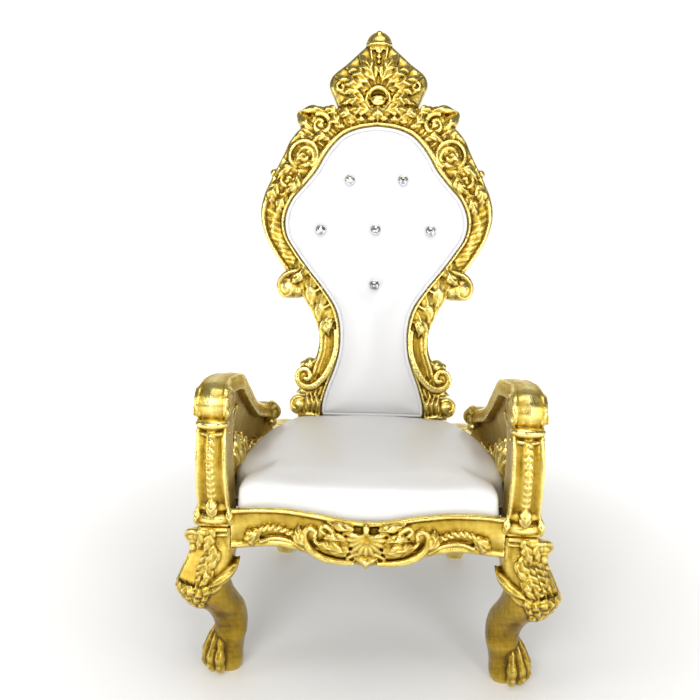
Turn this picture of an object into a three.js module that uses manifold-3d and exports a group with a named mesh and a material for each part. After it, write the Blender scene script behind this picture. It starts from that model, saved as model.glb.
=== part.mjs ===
// Gilded baroque throne armchair: carved frame, cabriole front legs on lion paws, rolled arms,
// waisted button back and domed seat cushion.
// Millimetres. +Z is up, the sitter faces -Y, and left and right are the sitter's (left is +X).
// The origin is on the floor, in the middle of the throne's footprint.
import * as THREE from "three";
import { mergeVertices } from "three/addons/utils/BufferGeometryUtils.js";
import Module from "manifold-3d";

const wasm = await Module();
wasm.setup();

// ---- Driving dimensions ------------------------------------------------------------------
// y = 0 is the line through the middles of the two front paws.
const GAP = 0.3; // between pieces that touch
const WELD = 1e-3; // points closer than this are one point

const PAW = { x: 347, y: 14 }; // middle of a front paw
const LEG_TOP = 406; // top of the front legs, under the arm posts
const LEG_BLOCK = { inner: 312, outer: 390, front: -48, back: 40 }; // square block above the knee
const REAR_FOOT = { x: 284, y: 598 }; // middle of a rear foot
const REAR_LEG_HALF = 32; // half the width that a rear leg has between the rails

const RAIL_TOP = 455; // top of the side and rear rails
const RAIL_BOTTOM = 376;
const REAR_RAIL = { front: 26, back: 20 }; // its faces, before and behind the middle of the rear feet
const SIDE_RAIL = { frontX: 368, backX: 300, bow: 16, half: 15 }; // middle line, and half its thickness
const APRON_HALF = LEG_BLOCK.inner - GAP; // half the width of the carved front rail

const SEAT_BOARD = { top: 428, thick: 22 };
const CUSHION = { bottom: SEAT_BOARD.top + GAP, side: 504, crown: 524, back: 548, middle: 262 };

const BACK_FOOT = { y: 572, z: 463.5 }; // where the back's own frame stands
const BACK_LEAN = 9; // degrees behind the vertical
const BACK_DEPTH = 50; // thickness of the frame behind its face
const FOOT_RAIL_TOP = 24; // rail that ties the feet of the surround behind the cushion
const CREST_TOP = 1230; // height of the finial's top, measured along the lean
const PAD_FACE = 22; // height of the back pad's face over the back's own plane
const PAD_REAR = -18; // height of its rear, where the outside panel begins
const BUTTON_RADIUS = 15;
const BUTTONS = [[83, 767], [-83, 767], [172, 612], [-172, 612], [0, 614], [0, 441]];

// Arms: middle line (x at a distance y behind the front), and the height of the web's top edge.
const ARM = { width: 76, thick: 40, web: 28 };
const ARM_LINE = [[32, 350], [90, 333], [200, 334], [300, 341], [400, 337], [500, 328]];
const WEB_TOP = [[10, 694], [90, 706], [140, 676], [200, 634], [300, 580], [400, 542], [505, 500]];

// ---- Materials ---------------------------------------------------------------------------
const finish = (color, roughness, metalness) =>
  new THREE.MeshStandardMaterial({ color, roughness, metalness });
const gilding = () => finish(0xd2a52c, 0.28, 1.0);
const whiteLeather = () => finish(0xf2f1ef, 0.38, 0.0);
const crystal = () => finish(0xdfe6ec, 0.08, 0.3);
const dustCover = () => finish(0x26262a, 0.9, 0.0);

// ---- Solids ------------------------------------------------------------------------------
/** A closed geometry as a solid, turned the right way out. */
function solidOf(geometry) {
  const bare = new THREE.BufferGeometry();
  bare.setAttribute("position", geometry.getAttribute("position"));
  bare.setIndex(geometry.index);
  const merged = mergeVertices(bare, WELD);
  const corners = [];
  for (let i = 0; i < merged.index.count; i += 3) {
    const [a, b, c] = [0, 1, 2].map((k) => merged.index.getX(i + k));
    if (a !== b && b !== c && c !== a) corners.push(a, b, c);
  }
  const build = (triangles) =>
    new wasm.Manifold(
      new wasm.Mesh({
        numProp: 3,
        vertProperties: merged.attributes.position.array,
        triVerts: new Uint32Array(triangles),
      }),
    );
  const solid = build(corners);
  return solid.volume() > 0 ? solid : build(corners.reverse());
}

/** One solid from many closed geometries; pockets sealed between them are filled. */
function join(...geometries) {
  const whole = geometries.flat(Infinity).map(solidOf).reduce((a, b) => a.add(b));
  return whole.decompose().filter((body) => body.volume() > 0).reduce((a, b) => a.add(b));
}

/** The geometry of a solid. */
function geometryOf(solid) {
  const mesh = solid.getMesh();
  return new THREE.BufferGeometry()
    .setAttribute("position", new THREE.BufferAttribute(new Float32Array(mesh.vertProperties), 3))
    .setIndex(new THREE.BufferAttribute(new Uint32Array(mesh.triVerts), 1));
}

function piece(name, solid, material) {
  const geometry = geometryOf(solid);
  geometry.computeVertexNormals();
  const mesh = new THREE.Mesh(geometry, material);
  mesh.name = name;
  return mesh;
}

/** A copy of a geometry mirrored left to right. */
const mirrored = (geometry) => geometry.clone().scale(-1, 1, 1);
const bothSides = (geometries) => [geometries].flat(Infinity).flatMap((g) => [g, mirrored(g)]);

/** A copy of a geometry with each vertex moved by a function. */
function bent(geometry, move) {
  const copy = geometry.clone();
  const place = copy.getAttribute("position");
  const point = new THREE.Vector3();
  for (let i = 0; i < place.count; i++) {
    point.fromBufferAttribute(place, i);
    move(point);
    place.setXYZ(i, point.x, point.y, point.z);
  }
  return copy;
}

const at = (x, y, z = 0) => new THREE.Vector3(x, y, z);
const smooth = (points, count) =>
  new THREE.CatmullRomCurve3(points, false, "centripetal").getPoints(count);

/** Closed skin over rings of equal point counts, with a fan over each end, or looped on itself. */
function skin(rings, looped = false) {
  const count = rings[0].length;
  const points = rings.flat();
  const index = [];
  const spans = looped ? rings.length : rings.length - 1;
  for (let i = 0; i < spans; i++) {
    const a = i * count;
    const b = ((i + 1) % rings.length) * count;
    for (let j = 0; j < count; j++) {
      const k = (j + 1) % count;
      index.push(a + j, b + j, b + k, a + j, b + k, a + k);
    }
  }
  if (!looped) {
    [rings[0], rings.at(-1)].forEach((ring, end) => {
      const middle = points.push(ring.reduce((s, p) => s.add(p), at(0, 0)).divideScalar(count)) - 1;
      const start = end ? (rings.length - 1) * count : 0;
      for (let j = 0; j < count; j++) {
        const [p, q] = [start + j, start + ((j + 1) % count)];
        index.push(...(end ? [middle, q, p] : [middle, p, q]));
      }
    });
  }
  return new THREE.BufferGeometry().setFromPoints(points).setIndex(index);
}

/** A round or oval bar along a path: radius(t) from 0 to 1, flattened by `flat` across its up side. */
function bar(path, radius, { sides = 5, flat = 1, up = at(0, 0, 1) } = {}) {
  const rings = path.map((p, i) => {
    const along = path[Math.min(i + 1, path.length - 1)].clone().sub(path[Math.max(i - 1, 0)]);
    const across = along.normalize().clone().cross(up).normalize();
    const rise = across.clone().cross(along).normalize();
    const r = radius(i / (path.length - 1));
    return Array.from({ length: sides }, (_, k) => {
      const turn = (2 * Math.PI * (k + 0.5)) / sides;
      return p
        .clone()
        .addScaledVector(across, r * Math.cos(turn))
        .addScaledVector(rise, r * flat * Math.sin(turn));
    });
  });
  return skin(rings);
}

/** An acanthus leaf along a spine: a raised midrib between lobed edges, thick enough to be rooted below. */
function leaf(spine, width, height, { lobes = 2, steps = 4, up = at(0, 0, 1) } = {}) {
  const path = smooth(spine, steps);
  const rings = path.map((p, i) => {
    const t = i / steps;
    const along = path[Math.min(i + 1, steps)].clone().sub(path[Math.max(i - 1, 0)]).normalize();
    const across = along.clone().cross(up).normalize();
    const rise = across.clone().cross(along).normalize();
    const swell = Math.sin(Math.PI * Math.pow(0.12 + 0.85 * t, 0.8)) * (1 - 0.15 * t);
    const half = (width / 2) * Math.max(0.08, swell * (1 + 0.16 * Math.cos(2 * Math.PI * lobes * t)));
    const h = height * Math.max(0.2, swell);
    return [[-1, 0], [0, 1], [1, 0], [0, -1.6]].map(([s, k]) =>
      p.clone().addScaledVector(across, s * half).addScaledVector(rise, k * h));
  });
  return skin(rings);
}

/** A carved volute on a flat face: a round boss whose relief winds in as a spiral. */
function volute(x, y, radius, base, { turns = 1.3, hand = 1, start = 0 } = {}) {
  const [sectors, rise, depth] = [8, 14, 16];
  const ring = (share, height) =>
    Array.from({ length: sectors }, (_, i) => {
      const turn = (2 * Math.PI * i) / sectors;
      const wave = Math.cos(hand * (turn - start) - 2 * Math.PI * turns * (1 - share));
      const r = radius * share;
      return at(x + r * Math.cos(turn), y + r * Math.sin(turn), base + height(wave));
    });
  const relief = (wave) => rise * (0.6 + 0.4 * wave);
  return skin([
    ring(0.95, () => -depth), ring(1, () => rise * 0.4), ring(0.85, relief), ring(0.5, relief),
    ring(0.12, () => rise),
  ]);
}

function ball(x, y, z, rx, ry = rx, rz = rx, sides = 6) {
  return new THREE.SphereGeometry(1, sides, Math.ceil(sides / 2) + 1).scale(rx, ry, rz).translate(x, y, z);
}

function block(x0, x1, y0, y1, z0, z1) {
  return new THREE.BoxGeometry(x1 - x0, y1 - y0, z1 - z0)
    .translate((x0 + x1) / 2, (y0 + y1) / 2, (z0 + z1) / 2);
}

// ---- The back: modelled flat (x across, y up the lean, z out of its face), then leaned ------
// Pairs of points on the outer and inner edges of the carved surround, from the arch to the foot.
const SURROUND = [
  [[0, 1010], [0, 935]], [[80, 1003], [59, 926]], [[150, 986], [106, 906]],
  [[215, 955], [142, 871]], [[268, 905], [167, 835]], [[298, 845], [189, 796]],
  [[328, 785], [227, 749]], [[356, 722], [266, 702]], [[366, 662], [286, 644]],
  [[352, 597], [279, 592]], [[320, 535], [248, 541]], [[280, 478], [208, 486]],
  [[236, 415], [162, 428]], [[198, 350], [122, 365]], [[176, 290], [107, 298]],
  [[175, 232], [110, 228]], [[192, 175], [124, 172]], [[208, 110], [147, 110]],
  [[222, 55], [160, 60]], [[226, -24], [164, -24]],
];
// Section of the surround: share of the way from the outer edge to the inner one, height, and the
// height where a leaf swells in the channel.
const SURROUND_SECTION = [
  [0.14, -BACK_DEPTH], [0, -28], [0.04, 2, 8], [0.2, 24], [0.36, 20, 28],
  [0.56, 9, 21], [0.76, 12, 10], [0.88, 24], [1, 15], [1, -BACK_DEPTH],
];

const SURROUND_STEPS = 22;

/** The outer and inner edge of the surround at each station down one side. */
function surroundStations(count) {
  const edge = (side) => smooth(SURROUND.map((pair) => at(...pair[side])), count);
  const inner = edge(1);
  return edge(0).map((outer, i) => [outer, inner[i]]);
}

/** The hourglass ring of the surround, open at the foot, with a row of leaves swelling in its channel. */
function surroundRing() {
  const half = surroundStations(SURROUND_STEPS);
  const ring = ([outer, inner], i, side) =>
    SURROUND_SECTION.map(([share, height, leafHeight]) => {
      const p = outer.clone().lerp(inner, share);
      return at(side * p.x, p.y, i % 2 ? height : leafHeight ?? height);
    });
  const left = half.map((station, i) => ring(station, i, 1));
  const right = half.map((station, i) => ring(station, i, -1)).slice(1);
  return skin([...left.reverse(), ...right]);
}

/** Crest plate above the arch: a raised rim with sloping shoulders round a sunk field. */
function crestPlate() {
  const half = smooth([
    at(0, 1180), at(46, 1176), at(100, 1132), at(146, 1092), at(152, 1062), at(141, 1036),
    at(131, 1008), at(110, 968), at(0, 950),
  ], 8);
  const outline = [...half, ...half.slice(1, -1).reverse().map((p) => at(-p.x, p.y))];
  const heart = at(0, 1055);
  const ring = (share, height) =>
    outline.map((p) => at(...heart.clone().lerp(p, share).toArray().slice(0, 2), height));
  return skin([ring(0.95, -46), ring(1, -32), ring(1, 6), ring(0.92, 21), ring(0.8, 10)]);
}

function finial() {
  const profile = [[0, -60], [30, -56], [25, -36], [36, -20], [38, -3], [28, 18], [0, 28]];
  return new THREE.LatheGeometry(profile.map(([r, h]) => new THREE.Vector2(r, h)), 8)
    .scale(1, 1, 0.85).translate(0, CREST_TOP - 28, -8);
}

/** Leaves, cabochon and scrolls that fill the crest. */
function crestCarving() {
  const few = { lobes: 1, steps: 3 };
  const collar = new THREE.CylinderGeometry(33, 38, 34, 8).rotateX(Math.PI / 2);
  collar.scale(0.9, 1.05, 1).translate(0, 1016, 9);
  return [
    ball(0, 1016, 22, 24, 29, 20), collar,
    leaf([at(0, 1062, 14), at(0, 1100, 26), at(0, 1140, 20)], 26, 9, few),
    bothSides([
      leaf([at(14, 1056, 16), at(24, 1090, 28), at(52, 1118, 20)], 26, 10, few),
      leaf([at(32, 1030, 18), at(66, 1050, 27), at(108, 1082, 18)], 32, 10, few),
      leaf([at(34, 1002, 18), at(76, 1012, 28), at(122, 1034, 18)], 34, 10, few),
      leaf([at(24, 974, 20), at(70, 972, 30), at(126, 986, 18)], 34, 11, few),
    ]).flat(),
  ].flat();
}

/** Horns, shoulder scrolls, rosettes and knobs down the sides of the surround. */
function shoulderCarving() {
  const horn = bar([at(202, 934, -14), at(214, 962, -8), at(228, 984, -4)], (t) => 24 - 8 * t);
  const arch = bar(smooth([at(132, 984, 20), at(176, 966, 26), at(214, 936, 26), at(242, 898, 22)], 4),
    (t) => 9 + 5 * Math.sin(Math.PI * t));
  return bothSides([
    horn, arch,
    volute(228, 844, 48, 14, { start: 1.2, hand: -1, turns: 1.6 }),
    ball(324, 792, -8, 15, 15, 20),
  ]);
}

/** Ear scroll at the narrowing, and the two scrolls that the surround stands on. */
function footScrolls() {
  return bothSides([
    volute(272, 431, 39, 2, { start: 2.2, hand: 1 }),
    volute(213, 143, 33, 6, { start: 1.9, hand: -1 }),
    volute(238, 58, 32, 0, { start: 2.6, hand: -1, turns: 1.1 }),
    leaf([at(252, 470, 4), at(226, 440, 20), at(232, 404, 12)], 34, 9, { steps: 3 }),
    leaf([at(188, 34, 14), at(184, 66, 22), at(196, 100, 16)], 32, 8, { steps: 3 }),
  ]);
}

/** Places a flat back geometry in the throne. */
function placeBack(group) {
  group.rotation.x = THREE.MathUtils.degToRad(90 - BACK_LEAN);
  group.position.set(0, BACK_FOOT.y, BACK_FOOT.z);
  group.updateMatrix();
  return group;
}

/** Cuts everything below the top of the rear rail off a solid of the back. */
function standOnRail(solid, group) {
  const intoBack = group.matrix.clone().invert();
  const below = block(-400, 400, 300, 900, 100, RAIL_TOP + GAP).applyMatrix4(intoBack);
  return solid.subtract(solidOf(below));
}

function backFrame(group) {
  const footRail = block(-170, 170, -40, FOOT_RAIL_TOP, -BACK_DEPTH + 4, 6);
  const carving = [crestCarving(), shoulderCarving(), footScrolls()];
  const whole = join(surroundRing(), crestPlate(), finial(), ...carving, footRail);
  return piece("back_frame", standOnRail(whole, group), gilding());
}

/** Outline of the upholstered opening, drawn in from the surround's inner edge. */
function openingOutline(inset) {
  const bottom = FOOT_RAIL_TOP + GAP + inset;
  const half = surroundStations(SURROUND_STEPS)
    .filter(([, inner]) => inner.y > FOOT_RAIL_TOP + 28)
    .map(([outer, inner]) => inner.clone().addScaledVector(inner.clone().sub(outer).normalize(), inset));
  half[0].x = 0;
  const side = [...half, half.at(-1).clone().setY(bottom)];
  return [...side, ...side.slice(1).reverse().map((p) => at(-p.x, p.y))];
}

/** A pad with the opening's outline: its edge at one height and its face crowned above it. */
function padded(name, heights, insets, material) {
  const rings = heights.map((height, i) => openingOutline(insets[i]).map((p) => at(p.x, p.y, height)));
  return piece(name, solidOf(outlineSkin(rings)), material);
}

/** Skin over rings whose ends are filled by triangulating their outline. */
function outlineSkin(rings) {
  const count = rings[0].length;
  const walls = skin(rings, true).index.array.slice(0, (rings.length - 1) * count * 6);
  const faces = THREE.ShapeUtils.triangulateShape(rings[0].map((p) => new THREE.Vector2(p.x, p.y)), []);
  const last = (rings.length - 1) * count;
  const ends = faces.flatMap(([a, b, c]) => [c, b, a, last + a, last + b, last + c]);
  return new THREE.BufferGeometry().setFromPoints(rings.flat()).setIndex([...walls, ...ends]);
}

/** Six cut-crystal buttons pulled into the back pad. */
function crystalButtons() {
  return BUTTONS.map(([x, y], i) => {
    const gem = new THREE.LatheGeometry(
      [[0, 0], [BUTTON_RADIUS - 3, 0], [BUTTON_RADIUS, 4], [0, 10]]
        .map(([r, h]) => new THREE.Vector2(r, h)), 6);
    gem.rotateX(Math.PI / 2).translate(x, y, PAD_FACE + GAP);
    return piece(`crystal_button_${i + 1}`, solidOf(gem), crystal());
  });
}

// ---- Seat --------------------------------------------------------------------------------
/** Middle line of a side rail: x at a given y, bowing outward between the legs. */
function sideRailX(y) {
  const t = THREE.MathUtils.clamp(y / REAR_FOOT.y, 0, 1);
  return SIDE_RAIL.frontX + (SIDE_RAIL.backX - SIDE_RAIL.frontX) * t + SIDE_RAIL.bow * Math.sin(Math.PI * t);
}

function sideRail() {
  const rings = [];
  const [start, end] = [LEG_BLOCK.back + GAP, REAR_FOOT.y - REAR_LEG_HALF - GAP];
  for (let i = 0; i <= 4; i++) {
    const y = start + ((end - start) * i) / 4;
    const [inside, outside] = [sideRailX(y) - SIDE_RAIL.half, sideRailX(y) + SIDE_RAIL.half];
    rings.push([
      at(inside, y, RAIL_BOTTOM), at(outside - 6, y, RAIL_BOTTOM), at(outside, y, RAIL_BOTTOM + 8),
      at(outside, y, RAIL_TOP - 8), at(outside - 6, y, RAIL_TOP), at(inside, y, RAIL_TOP)]);
  }
  return skin(rings);
}

function rearRail() {
  const half = REAR_FOOT.x - REAR_LEG_HALF - GAP;
  const [front, back] = [REAR_FOOT.y - REAR_RAIL.front, REAR_FOOT.y + REAR_RAIL.back];
  return block(-half, half, front, back, RAIL_BOTTOM, RAIL_TOP);
}

// Front rail: top edge, bottom edge and forward bulge at distances from the middle.
const APRON_TOP = [[0, 440], [45, 442], [110, 452], [190, 457], [260, 456], [APRON_HALF, 450]];
const APRON_BOTTOM = [[0, 330], [35, 337], [76, 344], [115, 347], [149, 354], [205, 362], [250, 358],
  [APRON_HALF, 350]];
const APRON_FACE = [[0, -66], [90, -60], [180, -46], [APRON_HALF, -42]];
const APRON_THICK = 28;
const LIP_THICK = 11; // the part of the rail that stands in front of the cushion

/** Value of a table of [distance, value] at a distance, held level beyond its ends. */
function along(table, distance) {
  const d = THREE.MathUtils.clamp(distance, table[0][0], table.at(-1)[0]);
  const next = Math.max(1, table.findIndex(([x]) => x >= d));
  const [[x0, v0], [x1, v1]] = [table[next - 1], table[next]];
  return v0 + (v1 - v0) * ((d - x0) / (x1 - x0));
}

function apronBoard() {
  const rings = [];
  for (let i = -6; i <= 6; i++) {
    const x = (APRON_HALF * i) / 6;
    const [top, bottom, face] = [APRON_TOP, APRON_BOTTOM, APRON_FACE].map((t) => along(t, Math.abs(x)));
    const [rear, lip] = [face + APRON_THICK, face + LIP_THICK];
    rings.push([at(x, rear, bottom + 6), at(x, face + 8, bottom), at(x, face - 2, bottom + 12),
      at(x, face + 4, bottom + 20), at(x, face + 4, top - 14), at(x, face - 3, top - 6),
      at(x, lip, top), at(x, lip, SEAT_BOARD.top - 3), at(x, rear, SEAT_BOARD.top - 4)]);
  }
  return skin(rings);
}

/** Lays flat carving (x across, y up, z out) on the bulging face of the front rail. */
const onApron = (geometry) =>
  bent(geometry, (p) => p.set(p.x, along(APRON_FACE, Math.abs(p.x)) - p.z, p.y));

/** Shell, drop, acanthus and C-scrolls on the front rail. */
function apronCarving() {
  const shell = skin([[1, -6], [1, 3], [0.7, 11], [0.25, 9]].map(([share, rise], level) =>
    Array.from({ length: 12 }, (_, i) => {
      const turn = THREE.MathUtils.degToRad(-190 + (200 * i) / 11);
      const r = share * (i % 2 ? 62 : 54);
      return at(r * Math.cos(turn), 416 + r * Math.sin(turn), rise + (level > 1 && i % 2 ? 5 : 0));
    })));
  const drop = bar([at(0, 370, 4), at(0, 348, 12), at(0, 326, 2)], (t) => 24 - 21 * t, { flat: 0.6 });
  const scroll = smooth([at(26, 358, 5), at(62, 362, 6), at(104, 374, 6), at(136, 398, 5), at(130, 420, 4),
    at(110, 420, 3), at(112, 404, 3)], 8);
  const rope = smooth([at(150, 396, 2), at(186, 406, 3), at(228, 406, 3), at(262, 394, 2)], 6);
  return [
    shell, drop, ball(0, 436, 4, 12, 10, 12),
    ...bothSides([
      bar(scroll, (t) => 11 - 5 * t, { sides: 4 }),
      bar(rope, (t) => 8 + 2.5 * Math.cos(2 * Math.PI * 3 * t), { sides: 4 }),
      leaf([at(44, 398, 2), at(72, 408, 8), at(100, 394, 3)], 28, 9),
    ]),
  ].map(onApron);
}

function frontRail() {
  return join(apronBoard(), apronCarving());
}

/** Outline of the seat drawn in by an inset: its front follows the front rail, its back is rounded. */
function seatOutline(inset) {
  const frontHalf = LEG_BLOCK.inner - 5 - inset;
  const front = (x) => at(x, along(APRON_FACE, x) + LIP_THICK + 2 + inset);
  const half = [
    front(0), front(90), front(180), front(frontHalf - 8),
    at(frontHalf, 14), at(frontHalf, 50), at(334 - inset, 88), at(338 - inset, 160), at(332 - inset, 240),
    at(320 - inset, 320), at(294 - inset, 408), at(250 - inset, 490), at(196 - inset, 528 - inset),
    at(110, CUSHION.back - 6 - inset), at(0, CUSHION.back - inset),
  ];
  return [...half, ...half.slice(1, -1).reverse().map((p) => at(-p.x, p.y))];
}

function seatCushion() {
  const levels = [[CUSHION.bottom, 3], [CUSHION.side - 20, 0], [CUSHION.side - 4, 5],
    [CUSHION.side + 10, 26], [CUSHION.crown, 120]];
  const rings = levels.map(([height, inset]) => {
    const outline = seatOutline(Math.min(inset, 30));
    const share = 1 - Math.max(0, inset - 30) / 300;
    return outline.map((p) =>
      at(p.x * share, CUSHION.middle + (p.y - CUSHION.middle) * share, height));
  });
  return skin(rings);
}

/** Board inside the rails, which carries the cushion, with the dust cover under it. */
function seatBoard() {
  const rear = REAR_FOOT.y - REAR_RAIL.front - GAP;
  const corner = { x: REAR_FOOT.x - REAR_LEG_HALF - 2, y: REAR_FOOT.y - REAR_LEG_HALF - 2 };
  const half = [
    ...[0, 90, 180, 300].map((x) => at(x, along(APRON_FACE, x) + APRON_THICK + 1)),
    at(LEG_BLOCK.inner - 5, LEG_BLOCK.front + 60), at(LEG_BLOCK.inner - 5, LEG_BLOCK.back + 14),
    ...[90, 200, 320, 440].map((y) => at(sideRailX(y) - SIDE_RAIL.half - 2, y)),
    at(corner.x, corner.y), at(corner.x, rear), at(0, rear),
  ];
  const outline = [...half, ...half.slice(1, -1).reverse().map((p) => at(-p.x, p.y))];
  return skin([SEAT_BOARD.top - SEAT_BOARD.thick, SEAT_BOARD.top].map((height) =>
    outline.map((p) => at(p.x, p.y, height))));
}

// ---- Front legs --------------------------------------------------------------------------
// The leg turns out on the diagonal: height, middle x, middle y, half width and half depth.
const LEG_SECTIONS = [
  [0, 347, 12, 38, 30], [14, 350, 12, 48, 37], [44, 350, 10, 51, 39], [74, 346, 10, 48, 38],
  [106, 331, 14, 40, 36], [140, 331, 14, 40, 37], [176, 340, 6, 44, 42], [204, 354, -9, 48, 46],
  [236, 371, -24, 58, 52], [272, 379, -30, 62, 56], [300, 370, -24, 60, 54],
  [344, 356, -12, 49, 47], [380, 352, -6, 42, 42],
];

/** Loft of rounded-diamond sections with a ridge to the front. */
function legLoft(sections, sides = 10, power = 0.82) {
  const bow = (c) => Math.sign(c) * Math.pow(Math.abs(c), power);
  return skin(sections.map(([z, x, y, wide, deep]) =>
    Array.from({ length: sides }, (_, k) => {
      const turn = (2 * Math.PI * k) / sides - Math.PI / 2;
      return at(x + wide * bow(Math.cos(turn)), y + deep * bow(Math.sin(turn)), z);
    })));
}

/** Four toes that fan out over the front of the paw. */
function paw() {
  return Array.from({ length: 4 }, (_, i) => {
    const turn = THREE.MathUtils.degToRad(-94 + 29 * i);
    const out = (r, z) => at(PAW.x + r * Math.cos(turn), PAW.y + r * Math.sin(turn) * 0.85, z);
    const knuckle = smooth([out(18, 114), out(30, 88), out(41, 58), out(46, 32), out(42, 8)], 3);
    const thick = (t) => 7 + 7 * Math.sin(Math.PI * (0.1 + 0.62 * t));
    return bar(knuckle, thick, { sides: 4, up: at(0, 1, 0.2) });
  });
}

/** Acanthus down the front of the knee, its leafy hem, the inner wing and the outer ear. */
function kneeCarving() {
  const front = at(0, -1, 0.15);
  return [
    leaf([at(354, -46, 392), at(362, -70, 336), at(374, -86, 278), at(368, -54, 222)], 44, 12,
      { lobes: 2, steps: 5, up: front }),
    leaf([at(376, -72, 250), at(346, -66, 278), at(314, -42, 312), at(302, -22, 340)], 34, 11,
      { up: front }),
    leaf([at(382, -74, 256), at(410, -58, 246), at(434, -26, 258)], 32, 10, { up: front }),
    ball(403, -14, 372, 21, 24, 17),
  ];
}

function frontLeg() {
  const { inner, outer, front, back } = LEG_BLOCK;
  const head = block(inner, outer, front + 4, back, 346, LEG_TOP);
  const solid = join(legLoft(LEG_SECTIONS), paw(), kneeCarving(), head);
  const beside = inner - 112; // a plane well inside the leg, where both cuts begin
  const floor = block(beside, outer + 130, -200, 200, -60, 0);
  const railSeat = block(beside, inner, -200, 200, along(APRON_BOTTOM, APRON_HALF) - GAP, LEG_TOP + 20);
  return geometryOf(solid.subtract(solidOf(floor)).subtract(solidOf(railSeat)));
}

// ---- Rear legs ---------------------------------------------------------------------------
function rearLeg() {
  const { x, y } = REAR_FOOT;
  const sections = [[0, x, y, 25, 25], [20, x, y, 32, 32], [44, x, y, 30, 30], [72, x, y, 25, 25],
    [200, x, y + 9, 27, 28], [RAIL_BOTTOM, x, y + 2, 31.7, 31.7], [RAIL_TOP, x, y, 31.7, 31.7]];
  return legLoft(sections, 8, 0.5);
}

// ---- Arms --------------------------------------------------------------------------------
/** A flat ribbon along a path in the side view, its outer face fluted between beads of a given rise. */
function ribbon(path, thick, width, bead = () => 0) {
  const rings = path.map((p, i) => {
    const dir = path[Math.min(i + 1, path.length - 1)].clone().sub(path[Math.max(i - 1, 0)]).normalize();
    const t = thick(i / (path.length - 1)) / 2;
    const w = width(i / (path.length - 1)) / 2;
    const side = ([across, out]) => at(across * w, p.y - dir.z * out * t, p.z + dir.y * out * t);
    const middle = 0.85 + bead(i) / t;
    return [[-1, -1], [-1, 0.8], [-0.7, 1], [0, middle], [0.7, 1], [1, 0.8], [1, -1]].map(side);
  });
  return skin(rings);
}

const FRONT_SCROLL = { y: 0, z: 694, radius: 34, width: ARM.width + 4 };
const REAR_SCROLL = { y: 500, z: 520, radius: 25, width: 60 };
// Side view of the arm (y, z): from the front scroll over the crest to the rear scroll, and up the post.
const ARM_TOP_PATH = [[-12, 668], [-20, 690], [-6, 712], [34, 722], [90, 719], [140, 686], [200, 644],
  [300, 590], [390, 556], [450, 536], [488, 520]];
const ARM_POST_PATH = [[-6, LEG_TOP + 14], [-8, 450], [-16, 500], [-20, 550], [-12, 600], [2, 640],
  [6, 676]];

/** Post, armrest, foot, neck and scrolls, with x measured from the arm's middle line. */
function armFrame() {
  const path = (points, count) => smooth(points.map(([y, z]) => at(0, y, z)), count);
  const postDepth = (t) => 66 + 14 * Math.sin(Math.PI * t) - 12 * t;
  const postBeads = (i) => (i > 1 && i < 8 ? 4 + 6 * (i % 2) : 0);
  const post = ribbon(path(ARM_POST_PATH, 9), postDepth, (t) => ARM.width - 6 * t, postBeads);
  const restWidth = (t) => ARM.width - 12 * Math.min(1, 3 * t);
  const rest = ribbon(path(ARM_TOP_PATH, 10), () => ARM.thick, restWidth);
  const foot = block(-37, 41, -46, 38, LEG_TOP + GAP, LEG_TOP + 24);
  const neck = block(-41, 41, -36, 40, 632, 646);
  const roll = ({ y, z, radius, width }) =>
    new THREE.CylinderGeometry(radius, radius, width, 10).rotateZ(Math.PI / 2).translate(0, y, z);
  const huskLine = [at(0, -40, LEG_TOP + 4), at(0, -50, 434), at(0, -42, 458)];
  const husk = leaf(huskLine, 66, 8, { up: at(0, -1, 0) });
  return [post, rest, foot, neck, husk, roll(FRONT_SCROLL), roll(REAR_SCROLL)];
}

/** Web between the post, the armrest and the side rail, with two leaves inside, x from its middle plane. */
function armWeb() {
  const outline = [...WEB_TOP, ...WEB_TOP.map(([y]) => [y, RAIL_TOP + GAP]).reverse()];
  const side = new THREE.Shape(outline.map(([y, z]) => new THREE.Vector2(y, z)));
  const web = new THREE.ExtrudeGeometry(side, { depth: ARM.web, bevelEnabled: false, steps: 1 });
  const face = -ARM.web / 2;
  const inside = { steps: 3, up: at(-1, 0, 0) };
  return [
    bent(web, (p) => p.set(face + p.z, p.x, p.y)),
    leaf([at(face, 36, 510), at(face - 7, 90, 574), at(face - 7, 150, 612)], 50, 10, inside),
    leaf([at(face + 1, 70, 508), at(face - 5, 160, 530), at(face - 4, 250, 540)], 34, 9, inside),
  ];
}

function arm() {
  const onLine = (p) => p.setX(p.x + along(ARM_LINE, p.y));
  const onRail = (p) => {
    const height = THREE.MathUtils.clamp((p.z - RAIL_TOP) / (along(WEB_TOP, p.y) - RAIL_TOP), 0, 1);
    p.setX(p.x + THREE.MathUtils.lerp(sideRailX(p.y), along(ARM_LINE, p.y), height));
  };
  return geometryOf(join(armFrame().map((g) => bent(g, onLine)), armWeb().map((g) => bent(g, onRail))));
}

// ---- The throne --------------------------------------------------------------------------
const throne = new THREE.Group();
const standing = new THREE.Group(); // y measured from the front paws
throne.add(standing);

const back = placeBack(new THREE.Group());
standing.add(back);
back.add(
  backFrame(back),
  padded("back_pad", [PAD_REAR, PAD_FACE - 6, PAD_FACE], [0.5, 0.5, 20], whiteLeather()),
  padded("back_panel", [-BACK_DEPTH + 2, PAD_REAR - GAP], [0.5, 0.5], whiteLeather()),
  ...crystalButtons(),
);

standing.add(
  piece("seat_cushion", solidOf(seatCushion()), whiteLeather()),
  piece("seat_base", solidOf(seatBoard()), dustCover()),
  piece("front_rail", frontRail(), gilding()),
  piece("rear_rail", solidOf(rearRail()), gilding()),
);
const pairs = { side_rail: sideRail, front_leg: frontLeg, rear_leg: rearLeg, arm };
for (const [name, make] of Object.entries(pairs)) {
  const left = make();
  standing.add(piece(`${name}_left`, solidOf(left), gilding()));
  standing.add(piece(`${name}_right`, solidOf(mirrored(left)), gilding()));
}

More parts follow.
